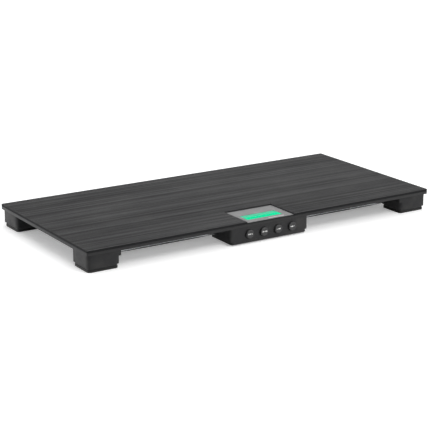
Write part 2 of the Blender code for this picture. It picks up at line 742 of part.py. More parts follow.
bezel_base = PLATE_TOP + GAP
lens_x = grown(window_x, LENS_LAP)
lens_y = grown(window_y, LENS_LAP)
bezel_z = (bezel_base, bezel_base + BEZEL_THICKNESS)
display_bezel = block("display_bezel", bezel_x, bezel_y, bezel_z, BEZEL_PLASTIC, BEZEL_CORNER)
window = block("window", window_x, window_y, grown(bezel_z, CUT), BEZEL_PLASTIC)
reshape(display_bezel, window)
lens_seat = block(
    "lens_seat",
    grown(lens_x, GAP),
    grown(lens_y, GAP),
    (bezel_base - CUT, bezel_base + LENS_THICKNESS + GAP),
    BEZEL_PLASTIC,
)
reshape(display_bezel, lens_seat)
block("display_lens", lens_x, lens_y, (bezel_base, bezel_base + LENS_THICKNESS), CLEAR_LENS)
panel_top = bezel_base - GAP
panel_base = panel_top - PANEL_THICKNESS
light_base = panel_base - GAP - BACKLIGHT_THICKNESS
block("lcd_panel", lens_x, lens_y, (panel_base, panel_top), PANEL_GREEN)
light_y = grown(lens_y, -MM)
block("backlight", grown(lens_x, -MM), light_y, (light_base, panel_base - GAP), BACKLIGHT_WHITE)
board_top = light_base - GAP
board_x = grown(lens_x, 2 * SOUNDER_RADIUS)
block("main_board", board_x, light_y, (board_top - BOARD_THICKNESS, board_top), BOARD_GREEN)
turned(
    "sounder",
    [(0, SOUNDER_RADIUS), (SOUNDER_HEIGHT, SOUNDER_RADIUS)],
    (board_x[1] - SOUNDER_RADIUS - MM, between(*light_y), board_top + GAP),
    SOUNDER_PLASTIC,
    steps=16,
)


# Load-cell cables: each leaves its corner block by a hole and is clipped along the rails to the console.


def smooth_route(points, steps=4):
    """Points along a smooth curve through the given ones, each span split into equal steps."""

    def heading(index):
        before = points[max(index - 1, 0)]
        here = points[index]
        after = points[min(index + 1, len(points) - 1)]
        return (after - before) / ((after - here).length + (here - before).length)

    route = []
    for index, (start, end) in enumerate(zip(points, points[1:])):
        span = (end - start).length
        for step in range(steps):
            t = step / steps
            along = start * (2 * t**3 - 3 * t**2 + 1) + end * (3 * t**2 - 2 * t**3)
            leaving = heading(index) * span * (t**3 - 2 * t**2 + t)
            arriving = heading(index + 1) * span * (t**3 - t**2)
            route.append(along + leaving + arriving)
    return [*route, points[-1]]


def cable(where, route):
    curve = bpy.data.curves.new(f"load_cell_cable_{where}", "CURVE")
    curve.dimensions = "3D"
    curve.bevel_depth = CABLE_RADIUS
    curve.bevel_resolution = 2
    curve.use_fill_caps = True
    points = smooth_route([Vector(point) for point in route])
    spline = curve.splines.new("POLY")
    spline.points.add(len(points) - 1)
    for target, point in zip(spline.points, points):
        target.co = (*point, 1)
    curve.materials.append(CABLE_JACKET)
    made = bpy.data.objects.new(curve.name, curve)
    bpy.context.collection.objects.link(made)
    return made


def cable_entry(label, side, y):
    """A hole in the console's end wall."""
    hole = turned(
        f"cable_entry_{label}",
        [(-CUT, CABLE_RADIUS + 2 * GAP), (CUT, CABLE_RADIUS + 2 * GAP)],
        (side * (CONSOLE_LENGTH - CONSOLE_WALL) / 2, y, cable_z),
        BLACK_ABS,
        (1, 0, 0),
        12,
    )
    reshape(console_housing, hole)


inside = CONSOLE_LENGTH / 2 - 3 * CONSOLE_WALL
bend = 6 * CABLE_RADIUS
corner_lane = block_inner_y - 4 * CABLE_RADIUS  # where a rear cable passes behind the front corner block
for label, side in (("left", -1), ("right", 1)):
    cable_entry(f"front_{label}", side, -front_lane)
    cable_entry(f"rear_{label}", side, -back_lane)
    span = front_exit[0] - inside
    cable(
        f"front_{label}",
        [
            (side * (front_exit[0] + BLOCK_WALL / 2), -front_lane, cable_z),
            (side * (front_exit[0] - bend), -front_lane, cable_z),
            (side * (inside + span * 0.7), -front_lane, cable_z),
            (side * (inside + span * 0.35), -front_lane, cable_z),
            (side * (inside + 3 * bend), -front_lane, cable_z),
            (side * inside, -front_lane, cable_z),
        ],
    )
    cable(
        f"rear_{label}",
        [
            (side * side_lane, rear_exit[1] + BLOCK_WALL / 2, cable_z),
            (side * side_lane, rear_exit[1] - bend, cable_z),
            (side * side_lane, rear_exit[1] * 0.3, cable_z),
            (side * side_lane, -rear_exit[1] * 0.3, cable_z),
            (side * side_lane, -corner_lane + 3 * bend, cable_z),
            (side * (side_lane - 0.15 * bend), -corner_lane + bend, cable_z),
            (side * (side_lane - bend), -corner_lane + 0.15 * bend, cable_z),
            (side * (tier_inner_x + bend / 2), -corner_lane, cable_z),
            (side * (tier_inner_x - bend), -between(corner_lane, back_lane), cable_z),
            (side * (tier_inner_x - 3 * bend), -back_lane, cable_z),
            (side * (inside + span * 0.6), -back_lane, cable_z),
            (side * (inside + span * 0.3), -back_lane, cable_z),
            (side * (inside + 3 * bend), -back_lane, cable_z),
            (side * inside, -back_lane, cable_z),
        ],
    )
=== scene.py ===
"""A low floor scale: a long ribbed deck on four load-cell feet, with its console under the front edge.

Metres, +Z up, the console towards -Y. The pieces follow the order in which the scale is put together.
"""

import json
import math

import bmesh
import bpy
from mathutils import Matrix, Vector

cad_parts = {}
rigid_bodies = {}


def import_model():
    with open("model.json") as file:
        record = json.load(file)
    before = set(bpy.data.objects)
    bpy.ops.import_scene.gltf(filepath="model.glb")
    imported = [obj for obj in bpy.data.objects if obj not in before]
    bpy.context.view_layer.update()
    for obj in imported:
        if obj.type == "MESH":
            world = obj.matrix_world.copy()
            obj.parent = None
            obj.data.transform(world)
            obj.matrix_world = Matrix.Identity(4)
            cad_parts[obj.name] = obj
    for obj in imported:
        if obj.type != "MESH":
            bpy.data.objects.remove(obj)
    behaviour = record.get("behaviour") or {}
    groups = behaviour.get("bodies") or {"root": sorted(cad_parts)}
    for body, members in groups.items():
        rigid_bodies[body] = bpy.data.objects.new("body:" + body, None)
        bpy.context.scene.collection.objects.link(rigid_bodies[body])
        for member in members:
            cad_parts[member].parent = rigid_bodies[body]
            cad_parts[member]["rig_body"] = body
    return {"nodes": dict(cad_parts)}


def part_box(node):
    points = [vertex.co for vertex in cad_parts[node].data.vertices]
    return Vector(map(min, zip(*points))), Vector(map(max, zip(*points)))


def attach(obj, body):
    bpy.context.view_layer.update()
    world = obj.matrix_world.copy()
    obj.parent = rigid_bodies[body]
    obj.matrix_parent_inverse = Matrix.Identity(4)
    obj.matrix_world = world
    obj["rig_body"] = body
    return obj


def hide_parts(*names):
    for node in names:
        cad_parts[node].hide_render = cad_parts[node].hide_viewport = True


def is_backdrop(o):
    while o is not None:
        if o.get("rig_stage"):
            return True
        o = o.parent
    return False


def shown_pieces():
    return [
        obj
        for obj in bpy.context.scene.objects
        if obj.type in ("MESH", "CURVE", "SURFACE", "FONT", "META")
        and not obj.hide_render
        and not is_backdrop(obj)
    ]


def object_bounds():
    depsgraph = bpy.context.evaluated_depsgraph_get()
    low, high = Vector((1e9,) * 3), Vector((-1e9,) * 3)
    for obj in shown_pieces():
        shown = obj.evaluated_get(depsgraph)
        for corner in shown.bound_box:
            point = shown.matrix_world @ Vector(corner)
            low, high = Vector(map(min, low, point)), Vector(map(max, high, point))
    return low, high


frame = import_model()
cad_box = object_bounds()
MM = 0.001
CORNERS = ("front_left", "front_right", "rear_left", "rear_right")


# ---- Camera --------------------------------------------------------------------------------------
# In front of the scale and to its left, a little above it. The long lens keeps the deck's long sides
# nearly parallel.
CAMERA_AZIMUTH = math.radians(-32.46)
CAMERA_ELEVATION = math.radians(16.23)
CAMERA_DISTANCE = 3.61
CAMERA_SIDESTEP = -0.0086
CAMERA_RISE = -0.0483
LENS_LENGTH = 117.74  # mm, on a 36 mm sensor

back = Vector(
    (
        math.sin(CAMERA_AZIMUTH) * math.cos(CAMERA_ELEVATION),
        -math.cos(CAMERA_AZIMUTH) * math.cos(CAMERA_ELEVATION),
        math.sin(CAMERA_ELEVATION),
    )
)
right = Vector((math.cos(CAMERA_AZIMUTH), math.sin(CAMERA_AZIMUTH), 0))
deck_centre = Vector((0, 0, cad_box[1].z))
camera_data = bpy.data.cameras.new("camera")
camera_data.lens = LENS_LENGTH
camera = bpy.data.objects.new("camera", camera_data)
camera.location = (
    deck_centre + back * CAMERA_DISTANCE + right * CAMERA_SIDESTEP + back.cross(right) * CAMERA_RISE
)
camera.rotation_euler = (-back).to_track_quat("-Z", "Y").to_euler()
bpy.context.collection.objects.link(camera)
bpy.context.scene.camera = camera


# ---- Sub-frame rails -----------------------------------------------------------------------------
# Four lengths of thin-walled rectangular steel tube, roll-formed, sawn off and bright zinc plated.
# They are pushed over spigots on the corner blocks and carry the deck.
RAIL_EASE = 0.9 * MM  # outside radius of the rolled corners
DRAW_LINE = 0.9 * MM  # coarser than real drawing lines, so that they show
DRAW_REACH = 90 * MM
SHARP = math.radians(30)  # faces that meet at more than this have an edge between them
WELD = 0.01 * MM  # corners closer than this are one


def linear(hex_colour):
    """An sRGB hex colour as linear light."""
    channels = [int(hex_colour[i : i + 2], 16) / 255 for i in (0, 2, 4)]
    return (*[c / 12.92 if c <= 0.04045 else ((c + 0.055) / 1.055) ** 2.4 for c in channels], 1)


def wire(node, inputs):
    """Sets or links a node's inputs. A node given as a value stands for its first output."""
    for name, value in inputs.items():
        socket = next(s for s in node.inputs if s.enabled and s.name == name)
        if isinstance(value, bpy.types.Node):
            value = next(s for s in value.outputs if s.enabled)
        if isinstance(value, bpy.types.NodeSocket):
            node.id_data.links.new(value, socket)
        else:
            socket.default_value = value


def add(tree, kind, settings=None, inputs=None):
    """Adds a node with its settings and links."""
    node = tree.nodes.new(kind)
    for name, value in (settings or {}).items():
        setattr(node, name, value)
    wire(node, inputs or {})
    return node


def new_material(name, inputs):
    """A material's tree, its Principled shader with these inputs, and its object coordinates."""
    material = bpy.data.materials.new(name)
    material.use_nodes = True
    tree = material.node_tree
    shader = tree.nodes["Principled BSDF"]
    wire(shader, inputs)
    place = add(tree, "ShaderNodeTexCoord").outputs["Object"]
    return material, tree, shader, place


def piece(name, bm, material, body, replaced=(), ease=0.0, segments=2):
    """Makes an object of the bmesh: it rides the body and stands for the CAD pieces."""
    mesh = bpy.data.meshes.new(name)
    bm.to_mesh(mesh)
    bm.free()
    for polygon in mesh.polygons:
        polygon.use_smooth = True
    mesh.set_sharp_from_angle(angle=SHARP)
    mesh.materials.append(material)
    made = bpy.data.objects.new(name, mesh)
    bpy.context.collection.objects.link(made)
    if ease:
        bevel = made.modifiers.new("eased_edges", "BEVEL")
        bevel.width = ease
        bevel.segments = segments
        bevel.limit_method = "ANGLE"
        bevel.angle_limit = SHARP
        bevel.harden_normals = True
    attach(made, body)
    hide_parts(*replaced)
    return made


def merged(node):
    """A bmesh of a CAD piece, its loose triangles joined up and its flat faces made whole."""
    bm = bmesh.new()
    bm.from_mesh(frame["nodes"][node].data)
    bmesh.ops.remove_doubles(bm, verts=bm.verts, dist=WELD)
    bmesh.ops.dissolve_limit(bm, angle_limit=math.radians(1), verts=bm.verts, edges=bm.edges)
    return bm


def finished(node, material, ease, segments=2):
    """A CAD piece's own shape with its edges eased, in a material."""
    body = frame["nodes"][node]["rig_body"]
    return piece(f"{node}_finish", merged(node), material, body, [node], ease, segments)


def zinc_plate(name, along):
    """Bright zinc on drawn steel: cloudy blue-white, with fine lines along the tube and dull patches."""
    material, tree, shader, place = new_material(name, {"Metallic": 1.0})
    stretch = [1 / DRAW_LINE] * 3
    stretch[along] = 1 / DRAW_REACH
    lines = add(tree, "ShaderNodeTexNoise", {}, {
        "Vector": add(tree, "ShaderNodeMapping", {}, {"Vector": place, "Scale": stretch}),
        "Scale": 1.0, "Detail": 2.0})
    cloud = add(tree, "ShaderNodeTexNoise", {}, {"Vector": place, "Scale": 1 / (28 * MM), "Detail": 4.0})
    bloom = add(tree, "ShaderNodeTexVoronoi", {}, {"Vector": place, "Scale": 1 / (7 * MM), "Randomness": 1.0})
    base = add(tree, "ShaderNodeMix", {"data_type": "RGBA"}, {
        "Factor": cloud, "A": linear("C9CDD1"), "B": linear("E2E3E2")})
    streaked = add(tree, "ShaderNodeMix", {"data_type": "RGBA", "blend_type": "MULTIPLY"}, {
        "Factor": 0.35, "A": base, "B": add(tree, "ShaderNodeMix", {"data_type": "RGBA"}, {
            "Factor": lines, "A": linear("A9ABAD"), "B": linear("FFFFFF")})})
    dulled = add(tree, "ShaderNodeMath", {"operation": "MULTIPLY_ADD"}, {"Value": cloud})
    dulled.inputs[1].default_value = 0.2
    dulled.inputs[2].default_value = 0.08
    spotted = add(tree, "ShaderNodeMapRange", {}, {
        "Value": bloom, "From Min": 0.0, "From Max": 0.35, "To Min": 0.12, "To Max": 0.0})
    rough = add(tree, "ShaderNodeMath", {"operation": "ADD"}, {})
    tree.links.new(dulled.outputs[0], rough.inputs[0])
    tree.links.new(spotted.outputs[0], rough.inputs[1])
    bump = add(tree, "ShaderNodeBump", {}, {"Height": lines, "Strength": 0.25, "Distance": 0.04 * MM})
    wire(shader, {"Base Color": streaked, "Roughness": rough, "Normal": bump})
    return material


for name, along, nodes in (
    ("long", 0, ("front_rail", "rear_rail")),
    ("short", 1, ("left_rail", "right_rail")),
):
    zinc = zinc_plate(f"zinc_plated_steel_{name}", along)
    for node in nodes:
        finished(node, zinc, ease=RAIL_EASE, segments=3)


# ---- Corner blocks -------------------------------------------------------------------------------
# One at each corner: an open-bottomed box moulded in black ABS, its tool spark-eroded to a fine texture.
# The rails slide onto its spigots, and the deck plate rests on top.
BLOCK_EASE = 0.7 * MM
SPARK_GRAIN = 0.7 * MM  # real spark texture is about 0.2 mm


def textured_abs(name, dark, light):
    """Black ABS with a spark-eroded skin: dull, a little mottled, with dusty bloom."""
    material, tree, shader, place = new_material(name, {"IOR": 1.54, "Specular IOR Level": 0.2})
    grain = add(tree, "ShaderNodeTexNoise", {}, {"Vector": place, "Scale": 1 / SPARK_GRAIN, "Detail": 3.0})
    mottle = add(tree, "ShaderNodeTexNoise", {}, {"Vector": place, "Scale": 1 / (4 * MM), "Detail": 3.0})
    bloom = add(tree, "ShaderNodeTexNoise", {}, {"Vector": place, "Scale": 1 / (45 * MM), "Detail": 5.0})
    skin = add(tree, "ShaderNodeMix", {"data_type": "RGBA"}, {
        "Factor": mottle, "A": linear(dark), "B": linear(light)})
    dusty = add(tree, "ShaderNodeMix", {"data_type": "RGBA"}, {
        "Factor": add(tree, "ShaderNodeMapRange", {}, {
            "Value": bloom, "From Min": 0.48, "From Max": 0.75, "To Min": 0.0, "To Max": 0.14}),
        "A": skin, "B": linear("77756F")})
    rough = add(tree, "ShaderNodeMapRange", {}, {
        "Value": mottle, "From Min": 0.3, "From Max": 0.7, "To Min": 0.52, "To Max": 0.68})
    bump = add(tree, "ShaderNodeBump", {}, {"Height": grain, "Strength": 0.35, "Distance": 0.12 * MM})
    wire(shader, {"Base Color": dusty, "Roughness": rough, "Normal": bump})
    return material


block_abs = textured_abs("spark_eroded_abs", "272728", "313132")
for corner in CORNERS:
    finished(f"corner_block_{corner}", block_abs, ease=BLOCK_EASE)


# ---- Load cells and their bolts ------------------------------------------------------------------
# Each corner weighs through a machined aluminium beam, thinned by two bores so that it bends.
# One black socket bolt runs up through the beam's fixed end and the block into the deck plate.
MILL_STEP = 1.2 * MM  # feed marks of the end mill, drawn coarser than real

aluminium, tree, shader, place = new_material("machined_aluminium", {"Metallic": 1.0})
feed = add(tree, "ShaderNodeTexWave", {"bands_direction": "X"}, {
    "Vector": place, "Scale": 0.5 / MILL_STEP, "Distortion": 0.6, "Detail": 2.0})
stain = add(tree, "ShaderNodeTexNoise", {}, {"Vector": place, "Scale": 1 / (12 * MM), "Detail": 4.0})
wire(shader, {
    "Base Color": add(tree, "ShaderNodeMix", {"data_type": "RGBA"}, {
        "Factor": stain, "A": linear("B9BBBC"), "B": linear("CDCFCF")}),
    "Roughness": add(tree, "ShaderNodeMapRange", {}, {
        "Value": stain, "From Min": 0.3, "From Max": 0.7, "To Min": 0.24, "To Max": 0.42}),
    "Normal": add(tree, "ShaderNodeBump", {}, {"Height": feed, "Strength": 0.2, "Distance": 0.05 * MM}),
})

black_steel, tree, shader, place = new_material("black_oxide_steel", {"Metallic": 0.9})
scale = add(tree, "ShaderNodeTexNoise", {}, {"Vector": place, "Scale": 1 / (0.9 * MM), "Detail": 4.0})
rub = add(tree, "ShaderNodeTexNoise", {}, {"Vector": place, "Scale": 1 / (3 * MM), "Detail": 2.0})
wire(shader, {
    "Base Color": add(tree, "ShaderNodeMix", {"data_type": "RGBA"}, {
        "Factor": add(tree, "ShaderNodeMapRange", {}, {
            "Value": rub, "From Min": 0.5, "From Max": 0.8, "To Min": 0.0, "To Max": 0.6}),
        "A": linear("37373A"), "B": linear("6F6F72")}),
    "Roughness": add(tree, "ShaderNodeMapRange", {}, {
        "Value": scale, "From Min": 0.3, "From Max": 0.7, "To Min": 0.32, "To Max": 0.5}),
    "Normal": add(tree, "ShaderNodeBump", {}, {"Height": scale, "Strength": 0.2, "Distance": 0.05 * MM}),
})

for corner in CORNERS:
    finished(f"load_cell_{corner}", aluminium, ease=0.4 * MM)
    finished(f"cell_bolt_{corner}", black_steel, ease=0.3 * MM)


# ---- Feet ----------------------------------------------------------------------------------------
# A glass-filled nylon plate hangs from each load cell's free end by a stem and moves a hair with load.
# Its thick moulded rubber pad has a waffle of shallow pockets underneath, to grip the floor.
POCKET_PITCH = 13 * MM
POCKET_RIB = 1.6 * MM
POCKET_DEPTH = 1.2 * MM

nylon, tree, shader, place = new_material("glass_filled_nylon", {"IOR": 1.53, "Specular IOR Level": 0.35})
fibres = add(tree, "ShaderNodeTexVoronoi", {"feature": "SMOOTH_F1"}, {
    "Vector": add(tree, "ShaderNodeMapping", {}, {
        "Vector": place, "Rotation": (0, 0, 0.5), "Scale": (1 / (4 * MM), 1 / (0.9 * MM), 1 / (0.9 * MM))}),
    "Scale": 1.0})
wire(shader, {
    "Base Color": add(tree, "ShaderNodeMix", {"data_type": "RGBA"}, {
        "Factor": fibres, "A": linear("242424"), "B": linear("313131")}),
    "Roughness": add(tree, "ShaderNodeMapRange", {}, {"Value": fibres, "To Min": 0.45, "To Max": 0.62}),
    "Normal": add(tree, "ShaderNodeBump", {}, {"Height": fibres, "Strength": 0.2, "Distance": 0.08 * MM}),
})

pad_rubber, tree, shader, place = new_material("moulded_rubber", {"IOR": 1.52, "Specular IOR Level": 0.25})
scuff = add(tree, "ShaderNodeTexNoise", {}, {"Vector": place, "Scale": 1 / (6 * MM), "Detail": 5.0})
grain = add(tree, "ShaderNodeTexNoise", {}, {"Vector": place, "Scale": 1 / (0.8 * MM), "Detail": 2.0})
height = add(tree, "ShaderNodeSeparateXYZ", {}, {"Vector": place})
floor_dust = add(tree, "ShaderNodeMapRange", {}, {
    "Value": height.outputs["Z"], "From Min": 0.0, "From Max": 2.5 * MM, "To Min": 0.35, "To Max": 0.0})
wire(shader, {
    "Base Color": add(tree, "ShaderNodeMix", {"data_type": "RGBA"}, {
        "Factor": floor_dust,
        "A": add(tree, "ShaderNodeMix", {"data_type": "RGBA"}, {
            "Factor": scuff, "A": linear("282828"), "B": linear("343434")}),
        "B": linear("6B6862")}),
    "Roughness": add(tree, "ShaderNodeMapRange", {}, {
        "Value": scuff, "From Min": 0.3, "From Max": 0.7, "To Min": 0.7, "To Max": 0.9}),
    "Normal": add(tree, "ShaderNodeBump", {}, {"Height": grain, "Strength": 0.3, "Distance": 0.1 * MM}),
})



def facing_down(bm):
    """The faces that look at the floor."""
    return [face for face in bm.faces if face.normal.z < -0.9]


def with_edges(faces):
    """The faces with their edges and corners, as a cut takes them."""
    edges = dict.fromkeys(edge for face in faces for edge in face.edges)
    corners = dict.fromkeys(vert for face in faces for vert in face.verts)
    return [*faces, *edges, *corners]


for corner in CORNERS:
    finished(f"foot_plate_{corner}", nylon, ease=0.8 * MM, segments=3)
    bm = merged(f"foot_pad_{corner}")
    low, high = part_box(f"foot_pad_{corner}")
    for axis in (0, 1):
        spare = (high[axis] - low[axis]) % POCKET_PITCH / 2
        for step in range(int((high[axis] - low[axis]) / POCKET_PITCH) + 1):
            cut = Vector((0, 0, 0))
            cut[axis] = low[axis] + spare + step * POCKET_PITCH
            normal = Vector((0, 0, 0))
            normal[axis] = 1
            sole = with_edges(facing_down(bm))
            bmesh.ops.bisect_plane(bm, geom=sole, plane_co=cut, plane_no=normal, dist=WELD)
    whole = POCKET_PITCH**2 * 0.99  # only the whole squares get a pocket
    pockets = [face for face in facing_down(bm) if face.calc_area() > whole]
    bmesh.ops.inset_individual(bm, faces=pockets, thickness=POCKET_RIB / 2, depth=0)
    bmesh.ops.inset_individual(bm, faces=pockets, thickness=POCKET_DEPTH / 3, depth=-POCKET_DEPTH)
    node = f"foot_pad_{corner}"
    piece(f"{node}_finish", bm, pad_rubber, f"foot_{corner}", [node], ease=0.5 * MM)


# ---- Load-cell cables and their ties ------------------------------------------------------------
# A thin four-core cable in a grey PVC jacket runs from each corner block to the console.
# Nylon ties hold it to stick-on mounts along the rails.
FRONT_TIES, SIDE_TIES = 4, 3  # on each half of the front rail, and on each side rail
TIE_SPACING = 75 * MM
TIE_START = 30 * MM  # from the console's end to the first tie
TIE_WIDTH = 2.6 * MM
TIE_THICKNESS = 0.5 * MM
TIE_HEAD = Vector((3, 3.4, 3.6)) * MM
MOUNT_SIDE = 9 * MM
MOUNT_THICKNESS = 1 * MM

pvc, tree, shader, place = new_material("pvc_cable_jacket", {"IOR": 1.53, "Specular IOR Level": 0.4})
ripple = add(tree, "ShaderNodeTexNoise", {}, {"Vector": place, "Scale": 1 / (5 * MM), "Detail": 2.0})
grime = add(tree, "ShaderNodeTexNoise", {}, {"Vector": place, "Scale": 1 / (22 * MM), "Detail": 4.0})
wire(shader, {
    "Base Color": add(tree, "ShaderNodeMix", {"data_type": "RGBA"}, {
        "Factor": grime, "A": linear("3E3F41"), "B": linear("4F5052")}),
    "Roughness": add(tree, "ShaderNodeMapRange", {}, {
        "Value": grime, "From Min": 0.3, "From Max": 0.7, "To Min": 0.4, "To Max": 0.6}),
    "Normal": add(tree, "ShaderNodeBump", {}, {"Height": ripple, "Strength": 0.2, "Distance": 0.15 * MM}),
})
for corner in CORNERS:
    cable = finished(f"load_cell_cable_{corner}", pvc, ease=0)
    rounder = cable.modifiers.new("rounder", "SUBSURF")
    rounder.levels = rounder.render_levels = 1

tie_nylon, tree, shader, place = new_material("black_tie_nylon", {"IOR": 1.53, "Roughness": 0.45})
serration = add(tree, "ShaderNodeTexWave", {"bands_direction": "Z"}, {
    "Vector": place, "Scale": 0.5 / (0.8 * MM), "Distortion": 0.2})
tone = add(tree, "ShaderNodeTexNoise", {}, {"Vector": place, "Scale": 1 / (4 * MM), "Detail": 2.0})
wire(shader, {
    "Base Color": add(tree, "ShaderNodeMix", {"data_type": "RGBA"}, {
        "Factor": tone, "A": linear("1E1E1F"), "B": linear("2A2A2B")}),
    "Normal": add(tree, "ShaderNodeBump", {}, {"Height": serration, "Strength": 0.3, "Distance": 0.1 * MM}),
})


front_low, front_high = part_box("front_rail")
side_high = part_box("left_rail")[1]
lane_low, lane_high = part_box("load_cell_cable_front_left")
console_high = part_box("console_housing")[1]
cable_radius = (lane_high.z - lane_low.z) / 2
cable_z = (lane_low.z + lane_high.z) / 2
lane_gap = front_low.y - lane_high.y + cable_radius  # from a rail's face to the cable's middle


def tie(name, spot, along, towards_rail, rail_face):
    """A tie round the cable at the spot, with its mount on the rail's face beyond it."""
    bm = bmesh.new()
    bmesh.ops.create_cone(
        bm, cap_ends=False, segments=20, radius1=cable_radius, radius2=cable_radius, depth=TIE_WIDTH
    )
    bmesh.ops.solidify(bm, geom=bm.faces, thickness=-TIE_THICKNESS)
    head = bmesh.ops.create_cube(bm, size=1)["verts"]
    bmesh.ops.scale(bm, vec=TIE_HEAD, verts=head)
    bmesh.ops.translate(bm, vec=(cable_radius + TIE_HEAD.x / 2, 0, 0), verts=head)
    # The band lies across the cable, and its head hangs below it.
    turn = Matrix((Vector((0, 0, -1)), -along.cross(Vector((0, 0, -1))), along)).transposed()
    bmesh.ops.rotate(bm, verts=bm.verts, cent=(0, 0, 0), matrix=turn)
    bmesh.ops.translate(bm, vec=spot, verts=bm.verts)
    mount = bmesh.ops.create_cube(bm, size=1)["verts"]
    across = Vector((abs(towards_rail.x), abs(towards_rail.y), 0)) * MOUNT_THICKNESS
    size = across + Vector((abs(along.x), abs(along.y), 1)) * MOUNT_SIDE
    bmesh.ops.scale(bm, vec=size, verts=mount)
    centre = spot + Vector((0, 0, MOUNT_SIDE / 2 - cable_radius))
    for axis in (0, 1):
        if towards_rail[axis]:
            centre[axis] = rail_face - towards_rail[axis] * MOUNT_THICKNESS / 2
    bmesh.ops.translate(bm, vec=centre, verts=mount)
    bmesh.ops.recalc_face_normals(bm, faces=bm.faces)
    piece(name, bm, tie_nylon, "root", ease=0.25 * MM, segments=1)


for side, label in ((-1, "left"), (1, "right")):
    for step in range(FRONT_TIES):
        x = side * (console_high.x + TIE_START + step * TIE_SPACING)
        back_spot = Vector((x, front_high.y + lane_gap, cable_z))
        tie(f"tie_back_{label}_{step + 1}", back_spot, Vector((1, 0, 0)), Vector((0, -1, 0)), front_high.y)
    for step in range(SIDE_TIES):
        y = (step - (SIDE_TIES - 1) / 2) * TIE_SPACING
        inner = side * -side_high.x
        spot = Vector((inner - side * lane_gap, y, cable_z))
        tie(f"tie_side_{label}_{step + 1}", spot, Vector((0, 1, 0)), Vector((side, 0, 0)), inner)


# ---- Deck plate ----------------------------------------------------------------------------------
# A tray folded from 2 mm steel sheet, its edges turned down all round, powder coated satin black.
# It lies on the rails and blocks, and the bolts and console screws pull it down.
FOLD_RADIUS = 1.2 * MM
ORANGE_PEEL = 1.6 * MM

powder, tree, shader, place = new_material("powder_coated_steel", {"IOR": 1.5, "Specular IOR Level": 0.34})
peel = add(tree, "ShaderNodeTexNoise", {}, {"Vector": place, "Scale": 1 / ORANGE_PEEL, "Detail": 1.0})
film = add(tree, "ShaderNodeTexNoise", {}, {"Vector": place, "Scale": 1 / (60 * MM), "Detail": 4.0})
speck = add(tree, "ShaderNodeTexVoronoi", {}, {"Vector": place, "Scale": 1 / (5 * MM)})
wire(shader, {
    "Base Color": add(tree, "ShaderNodeMix", {"data_type": "RGBA"}, {
        "Factor": add(tree, "ShaderNodeMapRange", {}, {
            "Value": speck, "From Min": 0.0, "From Max": 0.16, "To Min": 0.3, "To Max": 0.0}),
        "A": add(tree, "ShaderNodeMix", {"data_type": "RGBA"}, {
            "Factor": film, "A": linear("151516"), "B": linear("1E1E1F")}),
        "B": linear("5A5A58")}),
    "Roughness": add(tree, "ShaderNodeMapRange", {}, {
        "Value": film, "From Min": 0.3, "From Max": 0.7, "To Min": 0.42, "To Max": 0.56}),
    "Normal": add(tree, "ShaderNodeBump", {}, {"Height": peel, "Strength": 0.3, "Distance": 0.1 * MM}),
})
finished("deck_plate", powder, ease=FOLD_RADIUS, segments=3)


# ---- Deck mat ------------------------------------------------------------------------------------
# One sheet of black rubber, extruded with fine ribs from end to end, trimmed and stuck to the plate.
# It is cut away at the front for the display.
RIB_EASE = 0.35 * MM
RIB_PITCH = 6 * MM
STREAK_LENGTH = 260 * MM  # the ribs vary in sheen one by one, and slowly along their length
STREAK_STEP = 1.7  # how far one rib is from the next in the noise, so that neighbours differ
BAND_WIDTH = 24 * MM  # wider bands, as the extrusion's pull varied
BAND_LENGTH = 1200 * MM
SHEEN_LOW, SHEEN_HIGH = 0.26, 0.74  # the noise seldom passes these
RIB_DEPTH = 0.9 * MM
GROOVE_SHADE = 0.2 * MM  # how far below the crests the grooves start to darken
mat_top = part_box("deck_mat")[1].z

mat_rubber, tree, shader, place = new_material("ribbed_rubber", {"IOR": 1.52, "Specular IOR Level": 0.22})
axes = add(tree, "ShaderNodeSeparateXYZ", {}, {"Vector": place})
by_rib = add(tree, "ShaderNodeVectorMath", {"operation": "SNAP"}, {"Vector": place})
by_rib.inputs[1].default_value = (1 * MM, RIB_PITCH, 1 * MM)
streak = add(tree, "ShaderNodeTexNoise", {}, {
    "Vector": add(tree, "ShaderNodeMapping", {}, {
        "Vector": by_rib, "Scale": (1 / STREAK_LENGTH, STREAK_STEP / RIB_PITCH, 0)}),
    "Scale": 1.0, "Detail": 2.0})
scuff = add(tree, "ShaderNodeTexNoise", {}, {"Vector": place, "Scale": 1 / (130 * MM), "Detail": 5.0})
grain = add(tree, "ShaderNodeTexNoise", {}, {"Vector": place, "Scale": 1 / (0.9 * MM), "Detail": 2.0})
band = add(tree, "ShaderNodeTexNoise", {}, {
    "Vector": add(tree, "ShaderNodeMapping", {}, {
        "Vector": place, "Scale": (1 / BAND_LENGTH, 1 / BAND_WIDTH, 1 / BAND_WIDTH)}),
    "Scale": 1.0, "Detail": 2.0})
rib_tone = add(tree, "ShaderNodeTexWhiteNoise", {"noise_dimensions": "1D"}, {
    "W": add(tree, "ShaderNodeSeparateXYZ", {}, {"Vector": by_rib}).outputs["Y"]})
# The ribs' gloss varies at random, and their colour is lightened where they are glossier: a painted sheen over
# the real one.
gloss_and_painted_sheen = add(tree, "ShaderNodeMix", {"data_type": "FLOAT"}, {
    "Factor": 0.4, "A": streak, "B": rib_tone.outputs["Value"]})
streaked = add(tree, "ShaderNodeMix", {"data_type": "RGBA"}, {
    "Factor": add(tree, "ShaderNodeMapRange", {}, {
        "Value": gloss_and_painted_sheen, "From Min": SHEEN_LOW, "From Max": SHEEN_HIGH}),
    "A": linear("1F1F20"), "B": linear("313132")})
toned = add(tree, "ShaderNodeMix", {"data_type": "RGBA", "blend_type": "MULTIPLY"}, {
    "Factor": 1.0, "A": streaked, "B": add(tree, "ShaderNodeMix", {"data_type": "RGBA"}, {
        "Factor": add(tree, "ShaderNodeMapRange", {}, {"Value": band, "From Min": 0.35, "From Max": 0.65}),
        "A": linear("F4F4F4"), "B": linear("FFFFFF")})})
